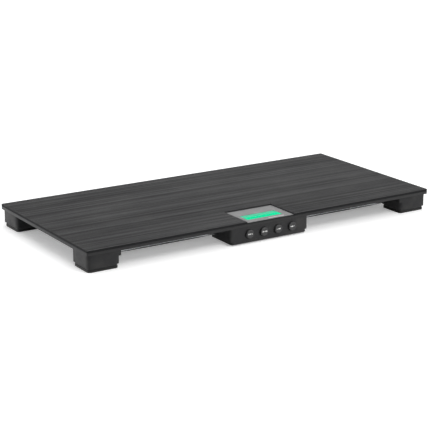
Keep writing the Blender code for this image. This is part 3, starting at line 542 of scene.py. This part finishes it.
worn = add(tree, "ShaderNodeMix", {"data_type": "RGBA"}, {
    "Factor": add(tree, "ShaderNodeMapRange", {}, {
        "Value": scuff, "From Min": 0.45, "From Max": 0.75, "To Min": 0.0, "To Max": 0.12}),
    "A": toned, "B": linear("565654")})
# The colour darkens below the crests: painted shade in the grooves.
painted_groove_shade = add(tree, "ShaderNodeMapRange", {}, {
    "Value": axes.outputs["Z"],
    "From Min": mat_top - RIB_DEPTH, "From Max": mat_top - GROOVE_SHADE, "To Min": 0.8, "To Max": 0.0})
wire(shader, {
    "Base Color": add(tree, "ShaderNodeMix", {"data_type": "RGBA"}, {
        "Factor": painted_groove_shade, "A": worn, "B": linear("1A1A1A")}),
    "Roughness": add(tree, "ShaderNodeMapRange", {}, {
        "Value": gloss_and_painted_sheen, "From Min": SHEEN_LOW, "From Max": SHEEN_HIGH, "To Min": 0.86, "To Max": 0.68}),
    "Normal": add(tree, "ShaderNodeBump", {}, {"Height": grain, "Strength": 0.3, "Distance": 0.1 * MM}),
})

# Where the sheet is trimmed, the knife leaves the rubber dead matt, with drag marks up its edge.
DRAG_WIDTH = 2 * MM
DRAG_LENGTH = 12 * MM
cut_rubber, tree, shader, place = new_material("cut_rubber_edge", {
    "IOR": 1.52, "Specular IOR Level": 0.1, "Roughness": 0.95})
drag = add(tree, "ShaderNodeTexNoise", {}, {
    "Vector": add(tree, "ShaderNodeMapping", {}, {
        "Vector": place, "Scale": (1 / DRAG_WIDTH, 1 / DRAG_WIDTH, 1 / DRAG_LENGTH)}),
    "Scale": 1.0, "Detail": 3.0})
wire(shader, {
    "Base Color": add(tree, "ShaderNodeMix", {"data_type": "RGBA"}, {
        "Factor": drag, "A": linear("252526"), "B": linear("333334")}),
    "Normal": add(tree, "ShaderNodeBump", {}, {"Height": drag, "Strength": 0.3, "Distance": 0.1 * MM}),
})
mat = finished("deck_mat", mat_rubber, ease=RIB_EASE)
mat.data.materials.append(cut_rubber)
for polygon in mat.data.polygons:
    if abs(polygon.normal.z) < 0.3:
        polygon.material_index = 1


# ---- Console housing -----------------------------------------------------------------------------
# A shell moulded in the same black ABS, textured like the corner blocks. It is open above and below,
# and four long screws hold it up against the deck plate.
console_abs = textured_abs("spark_eroded_console_abs", "29292A", "333334")
finished("console_housing", console_abs, ease=0.6 * MM)


# ---- Boards, switches and sounder ----------------------------------------------------------------
# Two glass-epoxy boards under green solder mask: one stands behind the buttons with a tact switch each,
# and one lies under the display with the sounder soldered to it.
laminate, tree, shader, place = new_material("solder_masked_laminate", {"IOR": 1.55, "Roughness": 0.35})
weave = add(tree, "ShaderNodeTexWave", {"bands_direction": "DIAGONAL"}, {
    "Vector": place, "Scale": 0.5 / (1.1 * MM)})
tracks = add(tree, "ShaderNodeTexBrick", {"offset": 0.37, "squash": 0.6, "squash_frequency": 3}, {
    "Vector": place, "Scale": 1 / (5 * MM), "Color1": linear("1B5A36"), "Color2": linear("1F6A3F"),
    "Mortar": linear("3C8A58"), "Mortar Size": 0.06, "Brick Width": 2.6, "Row Height": 0.4})
wire(shader, {
    "Base Color": tracks.outputs["Color"],
    "Normal": add(tree, "ShaderNodeBump", {}, {"Height": weave, "Strength": 0.15, "Distance": 0.03 * MM}),
})
for node in ("button_board", "main_board"):
    finished(node, laminate, ease=0.2 * MM, segments=1)

tinned_steel, tree, shader, place = new_material("tinned_switch_steel", {"Metallic": 1.0})
dull = add(tree, "ShaderNodeTexNoise", {}, {"Vector": place, "Scale": 1 / (2.5 * MM), "Detail": 4.0})
wire(shader, {
    "Base Color": add(tree, "ShaderNodeMix", {"data_type": "RGBA"}, {
        "Factor": dull, "A": linear("A8A9AA"), "B": linear("C4C4C2")}),
    "Roughness": add(tree, "ShaderNodeMapRange", {}, {"Value": dull, "To Min": 0.2, "To Max": 0.5}),
})
for number in range(1, 5):
    finished(f"tact_switch_{number}", tinned_steel, ease=0.3 * MM)

sounder_abs = textured_abs("sounder_case_abs", "141414", "1C1C1C")
finished("sounder", sounder_abs, ease=0.4 * MM)


# ---- Buttons -------------------------------------------------------------------------------------
# Four round caps moulded in smooth black ABS stand proud of the housing, their faces slightly dished.
# A flange behind the wall keeps each cap in, and a stem works its switch. The signs are pad printed.
CAP_ROUND = 2.2 * MM  # rounding round the face
DISH_DEPTH = 0.6 * MM
FLANGE = 1.7 * MM
FLANGE_START = 9.1 * MM  # behind the face
STEM_RADIUS = 2.5 * MM
PRINT_HEIGHT = 3.2 * MM
PRINT_THICKNESS = 0.05 * MM
RING_LINE = 0.9 * MM
ARROW_RADIUS = 0.58 * PRINT_HEIGHT
DISH_STEPS = 10
ROUND_STEPS = 5
TURN_STEPS = 56

cap_abs, tree, shader, place = new_material("smooth_black_abs", {"IOR": 1.54, "Specular IOR Level": 0.4})
haze = add(tree, "ShaderNodeTexNoise", {}, {"Vector": place, "Scale": 1 / (3 * MM), "Detail": 4.0})
touch = add(tree, "ShaderNodeTexNoise", {}, {"Vector": place, "Scale": 1 / (0.8 * MM), "Detail": 2.0})
wire(shader, {
    "Base Color": add(tree, "ShaderNodeMix", {"data_type": "RGBA"}, {
        "Factor": haze, "A": linear("2B2B2C"), "B": linear("373738")}),
    "Roughness": add(tree, "ShaderNodeMapRange", {}, {
        "Value": haze, "From Min": 0.3, "From Max": 0.7, "To Min": 0.34, "To Max": 0.5}),
    "Normal": add(tree, "ShaderNodeBump", {}, {"Height": touch, "Strength": 0.12, "Distance": 0.05 * MM}),
})

white_ink, tree, shader, place = new_material("pad_printed_ink", {"IOR": 1.5})
cover = add(tree, "ShaderNodeTexNoise", {}, {"Vector": place, "Scale": 1 / (0.7 * MM), "Detail": 3.0})
wire(shader, {
    "Base Color": add(tree, "ShaderNodeMix", {"data_type": "RGBA"}, {
        "Factor": cover, "A": linear("D6D6D4"), "B": linear("F4F4F2")}),
    "Roughness": add(tree, "ShaderNodeMapRange", {}, {"Value": cover, "To Min": 0.4, "To Max": 0.65}),
})


def dish(radius, rim_radius):
    """How far the dished face lies behind its rim."""
    return DISH_DEPTH * (1 - min(radius / rim_radius, 1) ** 2)


# Each sign is a row of marks: (kind, middle along the row, width), in millimetres.
SIGNS = (
    (("bar", -2.6, 9.2), ("ring", 5.4, 3.2)),
    (("bar", -4.4, 5.4), ("bar", 3.4, 7.6)),
    (("left", -4.6, 3.2), ("bar", 1.6, 7.0)),
    (("bar", -2.8, 8.8), ("right", 4.8, 3.2)),
)


def printed_sign(marks, centre, rim_radius):
    """Flat marks laid on the dished face, then thickened a little."""
    bm = bmesh.new()
    for kind, along, width in marks:
        if kind == "bar":
            made = bmesh.ops.create_grid(bm, x_segments=1, y_segments=4, size=0.5)["verts"]
            bmesh.ops.scale(bm, vec=(width * MM, PRINT_HEIGHT, 1), verts=made)
        elif kind == "ring":
            made = bmesh.ops.create_circle(bm, cap_ends=True, segments=24, radius=PRINT_HEIGHT / 2)["verts"]
            disc = made[0].link_faces[0]
            bmesh.ops.inset_individual(bm, faces=[disc], thickness=RING_LINE)
            inner = list(disc.verts)
            bmesh.ops.delete(bm, geom=[disc], context="FACES_ONLY")
            made = made + inner
        else:
            made = bmesh.ops.create_circle(bm, cap_ends=True, segments=3, radius=ARROW_RADIUS)["verts"]
            quarter = math.radians(90 if kind == "left" else -90)
            bmesh.ops.rotate(bm, cent=(0, 0, 0), matrix=Matrix.Rotation(quarter, 3, "Z"), verts=made)
        bmesh.ops.translate(bm, vec=(along * MM, 0, 0), verts=made)
    bmesh.ops.rotate(bm, cent=(0, 0, 0), matrix=Matrix.Rotation(math.radians(90), 3, "X"), verts=bm.verts)
    for vert in bm.verts:
        vert.co.y = dish(math.hypot(vert.co.x, vert.co.z), rim_radius) - PRINT_THICKNESS
    bmesh.ops.translate(bm, vec=centre, verts=bm.verts)
    bmesh.ops.recalc_face_normals(bm, faces=bm.faces)
    return bm


for number, marks in enumerate(SIGNS, 1):
    node = f"button_{number}"
    low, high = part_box(node)
    centre = Vector(((low.x + high.x) / 2, low.y, (low.z + high.z) / 2))
    cap_radius = (high.x - low.x) / 2 - FLANGE
    rim_radius = cap_radius - CAP_ROUND
    radii = [rim_radius * step / DISH_STEPS for step in range(DISH_STEPS + 1)]
    outline = [(radius, dish(radius, rim_radius)) for radius in radii]
    for step in range(1, ROUND_STEPS + 1):
        angle = math.radians(90) * step / ROUND_STEPS
        outline.append((rim_radius + CAP_ROUND * math.sin(angle), CAP_ROUND * (1 - math.cos(angle))))
    outline += [
        (cap_radius, FLANGE_START),
        (cap_radius + FLANGE, FLANGE_START),
        (cap_radius + FLANGE, FLANGE_START + FLANGE),
        (STEM_RADIUS, FLANGE_START + FLANGE),
        (STEM_RADIUS, high.y - low.y),
        (0, high.y - low.y),
    ]
    bm = bmesh.new()
    verts = [bm.verts.new((radius, depth, 0)) for radius, depth in outline]
    edges = [bm.edges.new(pair) for pair in zip(verts, verts[1:])]
    bmesh.ops.spin(
        bm, geom=verts + edges, cent=(0, 0, 0), axis=(0, 1, 0),
        angle=math.tau, steps=TURN_STEPS, use_merge=True
    )
    bmesh.ops.remove_doubles(bm, verts=bm.verts, dist=WELD)
    bmesh.ops.translate(bm, vec=centre, verts=bm.verts)
    bmesh.ops.recalc_face_normals(bm, faces=bm.faces)
    piece(f"{node}_cap", bm, cap_abs, node, [node], ease=0.2 * MM)
    sign = piece(f"{node}_sign", printed_sign(marks, centre, rim_radius), white_ink, node)
    ink = sign.modifiers.new("ink_film", "SOLIDIFY")
    ink.thickness = PRINT_THICKNESS
    ink.offset = 0


# ---- Display -------------------------------------------------------------------------------------
# A frosted acrylic light guide under a green liquid-crystal panel, behind a clear acrylic window.
# The panel sits in the deck plate's opening; a light grey moulded plate frames it, sunk in the mat.
guide, tree, shader, place = new_material("frosted_light_guide", {
    "IOR": 1.49, "Roughness": 0.55, "Subsurface Weight": 0.3, "Subsurface Scale": 2 * MM})
frost = add(tree, "ShaderNodeTexVoronoi", {}, {"Vector": place, "Scale": 1 / (1.5 * MM)})
wire(shader, {"Base Color": add(tree, "ShaderNodeMix", {"data_type": "RGBA"}, {
    "Factor": frost, "A": linear("DDE3DD"), "B": linear("F2F4F0")})})
finished("backlight", guide, ease=0.4 * MM)

# Lit green glass with faint unlit segments. It glows greener and brighter at the reader's edge and paler
# towards the rear: the pale rear is a painted reflection of the sky in the window.
# Its polariser is matt and takes no gloss. The panel fills the plate's opening behind the thin window.
LENS_LAP = 2 * MM  # how far the panel reaches under the plate, all round
PANE = 0.2 * MM
SEGMENT_PITCH = 15 * MM
PAINTED_REFLECTION_START = 16 * MM  # from the panel's front edge, where the painted reflection begins
PAINTED_REFLECTION_FULL = 26 * MM
panel_low, panel_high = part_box("lcd_panel")
bezel_low, bezel_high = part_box("display_bezel")


def window_pane(node, material, base, top):
    """A flat pane that fills the plate's opening between two heights, and stands for a CAD piece."""
    bm = bmesh.new()
    bmesh.ops.create_cube(bm, size=1)
    spare = Vector((LENS_LAP + PANE / 2, LENS_LAP + PANE / 2, 0))
    low = Vector((panel_low.x, panel_low.y, base)) + spare
    high = Vector((panel_high.x, panel_high.y, top)) - spare
    bmesh.ops.scale(bm, vec=high - low, verts=bm.verts)
    bmesh.ops.translate(bm, vec=(low + high) / 2, verts=bm.verts)
    piece(f"{node}_finish", bm, material, "root", [node])


lcd_glass, tree, shader, place = new_material("green_liquid_crystal", {
    "IOR": 1.52, "Roughness": 0.3, "Specular IOR Level": 0.0})
axes = add(tree, "ShaderNodeSeparateXYZ", {}, {"Vector": place})
cloud = add(tree, "ShaderNodeTexNoise", {}, {"Vector": place, "Scale": 1 / (9 * MM), "Detail": 2.0})
# Painted reflection: the glow turns paler from the front edge towards the rear.
across = add(tree, "ShaderNodeMapRange", {"interpolation_type": "SMOOTHSTEP"}, {
    "Value": axes.outputs["Y"],
    "From Min": panel_low.y + PAINTED_REFLECTION_START, "From Max": panel_low.y + PAINTED_REFLECTION_FULL, "To Min": 0.0, "To Max": 1.0})
glow_and_painted_reflection = add(tree, "ShaderNodeMix", {"data_type": "RGBA"}, {
    "Factor": across, "A": linear("10E0A2"), "B": linear("62C8A6")})
cells = add(tree, "ShaderNodeTexBrick", {"offset": 0.0, "squash": 1.0}, {
    "Vector": add(tree, "ShaderNodeMapping", {}, {
        "Vector": place, "Location": (0, -panel_low.y / SEGMENT_PITCH, 0), "Scale": [1 / SEGMENT_PITCH] * 3}),
    "Scale": 1.0, "Color1": (1, 1, 1, 1), "Color2": (1, 1, 1, 1), "Mortar": linear("E6E6E6"),
    "Mortar Size": 0.05, "Mortar Smooth": 0.3, "Brick Width": 0.8, "Row Height": 0.8})
lit = add(tree, "ShaderNodeMix", {"data_type": "RGBA", "blend_type": "MULTIPLY"}, {
    "Factor": 1.0, "A": glow_and_painted_reflection, "B": cells.outputs["Color"]})
patchy = add(tree, "ShaderNodeMapRange", {}, {
    "Value": cloud, "From Min": 0.3, "From Max": 0.7, "To Min": 0.86, "To Max": 1.0})
wire(shader, {"Base Color": linear("0A5A3C"), "Emission Color": lit, "Emission Strength": patchy})
window_pane("lcd_panel", lcd_glass, panel_low.z, bezel_high.z - 2 * PANE)

# The window is acrylic with an anti-reflection coating, drawn as a low index: no sky shows in it.
# Its reflection is painted into the panel's pale rear glow instead.
acrylic, tree, shader, place = new_material("coated_acrylic", {
    "IOR": 1.01, "Transmission Weight": 1.0, "Base Color": linear("FAFFFC")})
wipe = add(tree, "ShaderNodeTexNoise", {}, {
    "Vector": add(tree, "ShaderNodeMapping", {}, {
        "Vector": place, "Rotation": (0, 0, 0.4), "Scale": (1 / (60 * MM), 1 / (3 * MM), 1 / (3 * MM))}),
    "Scale": 1.0, "Detail": 3.0})
wire(shader, {"Roughness": add(tree, "ShaderNodeMapRange", {}, {
    "Value": wipe, "From Min": 0.35, "From Max": 0.75, "To Min": 0.02, "To Max": 0.09})})
window_pane("display_lens", acrylic, bezel_high.z - 1.5 * PANE, bezel_high.z - 0.5 * PANE)

# The plate is light grey with a fine matt skin and black outer edges. A pale rule is printed on its
# front margin.
RULE_LENGTH = 46 * MM
RULE_WIDTH = 2.6 * MM
RULE_SHIFT = 22 * MM  # to the right of the plate's middle
RULE_SETBACK = 9 * MM  # behind the plate's front edge
RIM_WIDTH = 1 * MM  # of the black edges
bezel_abs, tree, shader, place = new_material("light_grey_abs", {"IOR": 1.54, "Specular IOR Level": 0.3})
axes = add(tree, "ShaderNodeSeparateXYZ", {}, {"Vector": place})
skin = add(tree, "ShaderNodeTexNoise", {}, {"Vector": place, "Scale": 1 / (0.8 * MM), "Detail": 2.0})
cloud = add(tree, "ShaderNodeTexNoise", {}, {"Vector": place, "Scale": 1 / (20 * MM), "Detail": 4.0})
on_rule = add(tree, "ShaderNodeMath", {"operation": "MULTIPLY"})
for index, (axis, middle, reach) in enumerate((
    ("X", (bezel_low.x + bezel_high.x) / 2 + RULE_SHIFT, RULE_LENGTH / 2),
    ("Y", bezel_low.y + RULE_SETBACK, RULE_WIDTH / 2),
)):
    inside = add(tree, "ShaderNodeMath", {"operation": "COMPARE"})
    tree.links.new(axes.outputs[axis], inside.inputs[0])
    inside.inputs[1].default_value = middle
    inside.inputs[2].default_value = reach
    tree.links.new(inside.outputs[0], on_rule.inputs[index])
wire(shader, {
    "Base Color": add(tree, "ShaderNodeMix", {"data_type": "RGBA"}, {
        "Factor": on_rule,
        "A": add(tree, "ShaderNodeMix", {"data_type": "RGBA"}, {
            "Factor": cloud, "A": linear("5D5D5E"), "B": linear("676767")}),
        "B": linear("BDBDBB")}),
    "Roughness": add(tree, "ShaderNodeMapRange", {}, {
        "Value": cloud, "From Min": 0.3, "From Max": 0.7, "To Min": 0.5, "To Max": 0.62}),
    "Normal": add(tree, "ShaderNodeBump", {}, {"Height": skin, "Strength": 0.2, "Distance": 0.06 * MM}),
})
bezel = finished("display_bezel", bezel_abs, ease=0.5 * MM, segments=3)
bezel.data.materials.append(console_abs)
for polygon in bezel.data.polygons:
    from_low, from_high = polygon.center - bezel_low, bezel_high - polygon.center
    if min(*from_low.xy, *from_high.xy) < RIM_WIDTH:
        polygon.material_index = 1


# ---- Batteries and their holder ------------------------------------------------------------------
# An upturned ABS tray in the console takes four cells. Nickel-plated spring steel contacts stand at
# its ends. Each cell is a steel can in a printed two-colour film sleeve.
SLEEVE_BAND = 13 * MM  # from the nib to the end of the copper band
SLEEVE_TIP = 2 * MM  # from the nib to the sleeve
SLEEVE_END = 1 * MM  # bare steel at the flat end

finished("battery_holder", console_abs, ease=0.4 * MM)

nickel, tree, shader, place = new_material("nickel_plated_spring_steel", {"Metallic": 1.0})
tarnish = add(tree, "ShaderNodeTexNoise", {}, {"Vector": place, "Scale": 1 / (3 * MM), "Detail": 4.0})
wire(shader, {
    "Base Color": add(tree, "ShaderNodeMix", {"data_type": "RGBA"}, {
        "Factor": tarnish, "A": linear("C9C4B8"), "B": linear("DAD6CC")}),
    "Roughness": add(tree, "ShaderNodeMapRange", {}, {"Value": tarnish, "To Min": 0.12, "To Max": 0.42}),
})
for side in ("left", "right"):
    finished(f"battery_contact_{side}", nickel, ease=0.15 * MM, segments=1)


def film_sleeve(name, dark, light):
    """Shrunk plastic film over steel: glossy, with fine wrinkles round the can."""
    material, tree, shader, place = new_material(name, {
        "IOR": 1.5, "Coat Weight": 0.6, "Coat Roughness": 0.08})
    wrinkle = add(tree, "ShaderNodeTexNoise", {}, {
        "Vector": add(tree, "ShaderNodeMapping", {}, {
            "Vector": place, "Scale": (1 / (1.5 * MM), 1 / (6 * MM), 1 / (6 * MM))}),
        "Scale": 1.0, "Detail": 2.0})
    wire(shader, {
        "Base Color": add(tree, "ShaderNodeMix", {"data_type": "RGBA"}, {
            "Factor": wrinkle, "A": linear(dark), "B": linear(light)}),
        "Roughness": add(tree, "ShaderNodeMapRange", {}, {"Value": wrinkle, "To Min": 0.25, "To Max": 0.4}),
        "Normal": add(tree, "ShaderNodeBump", {}, {"Height": wrinkle, "Strength": 0.15, "Distance": 0.05 * MM}),
    })
    return material


slate_film = film_sleeve("slate_film_sleeve", "2E3842", "3A4651")
copper_film = film_sleeve("copper_film_sleeve", "A86A35", "BC7C42")
for number in range(1, 5):
    node = f"battery_{number}"
    bm = merged(node)
    low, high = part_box(node)
    middle = (low + high) / 2
    # The nib's corners lie far along the cell and close to its axis.
    nib_end = max(bm.verts, key=lambda v: abs(v.co.x - middle.x) - (v.co.yz - middle.yz).length)
    towards = 1 if nib_end.co.x > middle.x else -1
    tip = high.x if towards > 0 else low.x
    for distance in (SLEEVE_TIP, SLEEVE_BAND, high.x - low.x - SLEEVE_END):
        bmesh.ops.bisect_plane(
            bm, geom=bm.verts[:] + bm.edges[:] + bm.faces[:], plane_co=(tip - towards * distance, 0, 0),
            plane_no=(1, 0, 0), dist=WELD
        )
    for face in bm.faces:
        from_tip = abs(tip - face.calc_center_median().x)
        if SLEEVE_TIP < from_tip < high.x - low.x - SLEEVE_END:
            face.material_index = 1 if from_tip < SLEEVE_BAND else 2
    cell = piece(f"{node}_finish", bm, nickel, "root", [node], ease=0.3 * MM)
    cell.data.materials.append(copper_film)
    cell.data.materials.append(slate_film)


# ---- Bottom cover, hatch and screws --------------------------------------------------------------
# The cover closes the console from below. A hatch slides rearwards in it, with finger ridges pressed
# into its face, and four cross-headed screws run up through cover and housing into the deck plate.
RIDGE_COUNT = 5
RIDGE_PITCH = 3 * MM
RIDGE_LENGTH = 30 * MM
RIDGE_DEPTH = 0.6 * MM
RIDGE_OFFSET = 3 * MM  # from the hatch's middle to the first groove
RECESS_ARM = 0.9 * MM
RECESS_REACH = 2 * MM
RECESS_DEPTH = 1.2 * MM
RECESS_TAPER = 0.6  # its floor against its mouth

finished("console_cover", console_abs, ease=0.6 * MM)

bm = merged("battery_door")
low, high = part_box("battery_door")
middle = (low + high) / 2
ridge_start = middle.y + RIDGE_OFFSET


def outer_face(bm):
    """The hatch's lowest faces, where the ridges are."""
    lowest = min(vert.co.z for vert in bm.verts)
    return [face for face in facing_down(bm) if face.calc_center_median().z < lowest + 0.1 * MM]


cuts = [((side * RIDGE_LENGTH / 2, 0, 0), (1, 0, 0)) for side in (-1, 1)]
cuts += [((0, ridge_start + step * RIDGE_PITCH / 2, 0), (0, 1, 0)) for step in range(2 * RIDGE_COUNT)]
for spot, normal in cuts:
    bmesh.ops.bisect_plane(bm, geom=with_edges(outer_face(bm)), plane_co=spot, plane_no=normal, dist=WELD)
grooves = []
for face in outer_face(bm):
    spot = face.calc_center_median()
    step = (spot.y - ridge_start) / (RIDGE_PITCH / 2)
    if abs(spot.x) < RIDGE_LENGTH / 2 and 0 < step < 2 * RIDGE_COUNT - 1 and int(step) % 2 == 0:
        grooves.append(face)
bmesh.ops.inset_individual(bm, faces=grooves, thickness=0.2 * MM, depth=-RIDGE_DEPTH)
piece("battery_door_finish", bm, console_abs, "battery_door", ["battery_door"], ease=0.2 * MM)

for number in range(1, 5):
    node = f"console_screw_{number}"
    low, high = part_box(node)
    bm = merged(node)
    head = min(bm.faces, key=lambda f: f.calc_center_median().z)
    bmesh.ops.delete(bm, geom=[head], context="FACES_ONLY")
    rim = [e for e in bm.edges if e.is_boundary]
    arm, reach = RECESS_ARM / 2, RECESS_REACH
    cross = []
    for quarter in range(4):
        turn = Matrix.Rotation(quarter * math.pi / 2, 3, "Z")
        for x, y in ((reach, -arm), (reach, arm), (arm, arm)):
            cross.append(turn @ Vector((x, y, 0)))
    centre = Vector(((low.x + high.x) / 2, (low.y + high.y) / 2, low.z))
    ring = [bm.verts.new(centre + corner) for corner in cross]
    mouth = [bm.edges.new((ring[i], ring[(i + 1) % len(ring)])) for i in range(len(ring))]
    bmesh.ops.bridge_loops(bm, edges=rim + mouth)
    walls = bmesh.ops.extrude_edge_only(bm, edges=mouth)["geom"]
    for vert in [part for part in walls if isinstance(part, bmesh.types.BMVert)]:
        vert.co = centre + (vert.co - centre) * RECESS_TAPER + Vector((0, 0, RECESS_DEPTH))
    bmesh.ops.contextual_create(bm, geom=[part for part in walls if isinstance(part, bmesh.types.BMEdge)])
    bmesh.ops.recalc_face_normals(bm, faces=bm.faces)
    piece(f"{node}_finish", bm, black_steel, "root", [node], ease=0.12 * MM, segments=1)


# ---- Studio --------------------------------------------------------------------------------------
# A plain white opal table, softly lit from below, under a pale sky that is dimmer low on the left.
# Three softboxes shine on the scale only: behind it on the left, behind it, and in front on the right.
# Two more, in front and behind, shine on the table only.
FLOOR_REACH = 14.0
TABLE_GLOW = 0.3
LIGHT_SIDE = (0.75, 0.25, 0.6)  # where the sky is brightest


def staged(name, bm, material):
    """Makes a part of the studio of the bmesh. It isn't part of the scale."""
    mesh = bpy.data.meshes.new(name)
    bm.to_mesh(mesh)
    bm.free()
    mesh.materials.append(material)
    made = bpy.data.objects.new(name, mesh)
    bpy.context.collection.objects.link(made)
    made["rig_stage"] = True
    return made


opal, tree, shader, place = new_material("opal_acrylic", {
    "Roughness": 0.95, "Specular IOR Level": 0.0,
    "Emission Color": (1, 1, 1, 1), "Emission Strength": TABLE_GLOW})
cloud = add(tree, "ShaderNodeTexNoise", {}, {"Vector": place, "Scale": 1 / (90 * MM), "Detail": 3.0})
wire(shader, {"Base Color": add(tree, "ShaderNodeMix", {"data_type": "RGBA"}, {
    "Factor": cloud, "A": linear("F2F2F2"), "B": linear("FAFAFA")})})
bm = bmesh.new()
bmesh.ops.create_grid(bm, x_segments=1, y_segments=1, size=FLOOR_REACH)
floor = staged("floor", bm, opal)
floor.visible_diffuse = False

# A white paper backdrop stands round the table, beyond its edge. It sends no light to the scale.
BACKDROP_RADIUS = 13.0
BACKDROP_HEIGHT = 16.0
paper, tree, shader, place = new_material("backdrop_paper", {
    "Roughness": 1.0, "Specular IOR Level": 0.0, "Base Color": (0, 0, 0, 1), "Emission Color": (1, 1, 1, 1)})
fibre = add(tree, "ShaderNodeTexNoise", {}, {"Vector": place, "Scale": 1 / (400 * MM), "Detail": 3.0})
wire(shader, {"Emission Strength": add(tree, "ShaderNodeMapRange", {}, {
    "Value": fibre, "To Min": 1.0, "To Max": 1.06})})
bm = bmesh.new()
bmesh.ops.create_cone(
    bm, cap_ends=False, segments=64, radius1=BACKDROP_RADIUS, radius2=BACKDROP_RADIUS, depth=BACKDROP_HEIGHT
)
backdrop = staged("backdrop", bm, paper)
backdrop.visible_diffuse = False
backdrop.visible_glossy = False
backdrop.visible_transmission = False
backdrop.visible_shadow = False

world = bpy.data.worlds.new("studio")
bpy.context.scene.world = world
world.use_nodes = True
tree = world.node_tree
outward = add(tree, "ShaderNodeTexCoord").outputs["Generated"]
heading = add(tree, "ShaderNodeSeparateXYZ", {}, {"Vector": outward})
towards_light = add(tree, "ShaderNodeVectorMath", {"operation": "DOT_PRODUCT"}, {"Vector": outward})
towards_light.inputs[1].default_value = LIGHT_SIDE
shaded_sky = add(tree, "ShaderNodeMapRange", {"interpolation_type": "SMOOTHSTEP"}, {
    "Value": towards_light.outputs["Value"],
    "From Min": -0.65, "From Max": 0.35, "To Min": 0.04, "To Max": 1.0})
sky = add(tree, "ShaderNodeMix", {"data_type": "RGBA"}, {
    "Factor": add(tree, "ShaderNodeMapRange", {}, {
        "Value": heading.outputs["Z"], "From Min": -0.05, "From Max": 0.02}),
    "A": (0.02, 0.02, 0.02, 1), "B": shaded_sky})
wire(tree.nodes["Background"], {"Color": sky})

on_scale = bpy.data.collections.new("lit_scale")
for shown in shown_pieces():
    on_scale.objects.link(shown)
on_table = bpy.data.collections.new("lit_table")
on_table.objects.link(floor)


def soft_light(name, spot, target, width, height, power, lit):
    """A rectangular softbox, flagged so that it lights only the given collection."""
    lamp = bpy.data.lights.new(name, "AREA")
    lamp.shape = "RECTANGLE"
    lamp.size = width
    lamp.size_y = height
    lamp.energy = power
    made = bpy.data.objects.new(name, lamp)
    made.location = spot
    made.rotation_euler = (Vector(target) - made.location).to_track_quat("-Z", "Y").to_euler()
    made.light_linking.receiver_collection = lit
    bpy.context.collection.objects.link(made)


soft_light("left_softbox", (-3.3, 1.3, 1.1), (0, 0, 0), 1.4, 1.0, 125, on_scale)
soft_light("right_softbox", (1.3, -3.0, 1.3), (0, 0, 0), 1.6, 1.0, 50, on_scale)
soft_light("rear_softbox", (0.4, 1.3, 1.0), (0.1, 0.25, 0), 1.6, 0.5, 10, on_scale)
soft_light("table_front_softbox", (-0.3, -2.6, 2.6), (0, 0, 0), 2.0, 1.4, 45, on_table)
soft_light("table_rear_softbox", (0.3, 3.2, 1.5), (0, 0, 0), 2.4, 1.4, 22, on_table)
bpy.context.scene.view_settings.view_transform = "Standard"
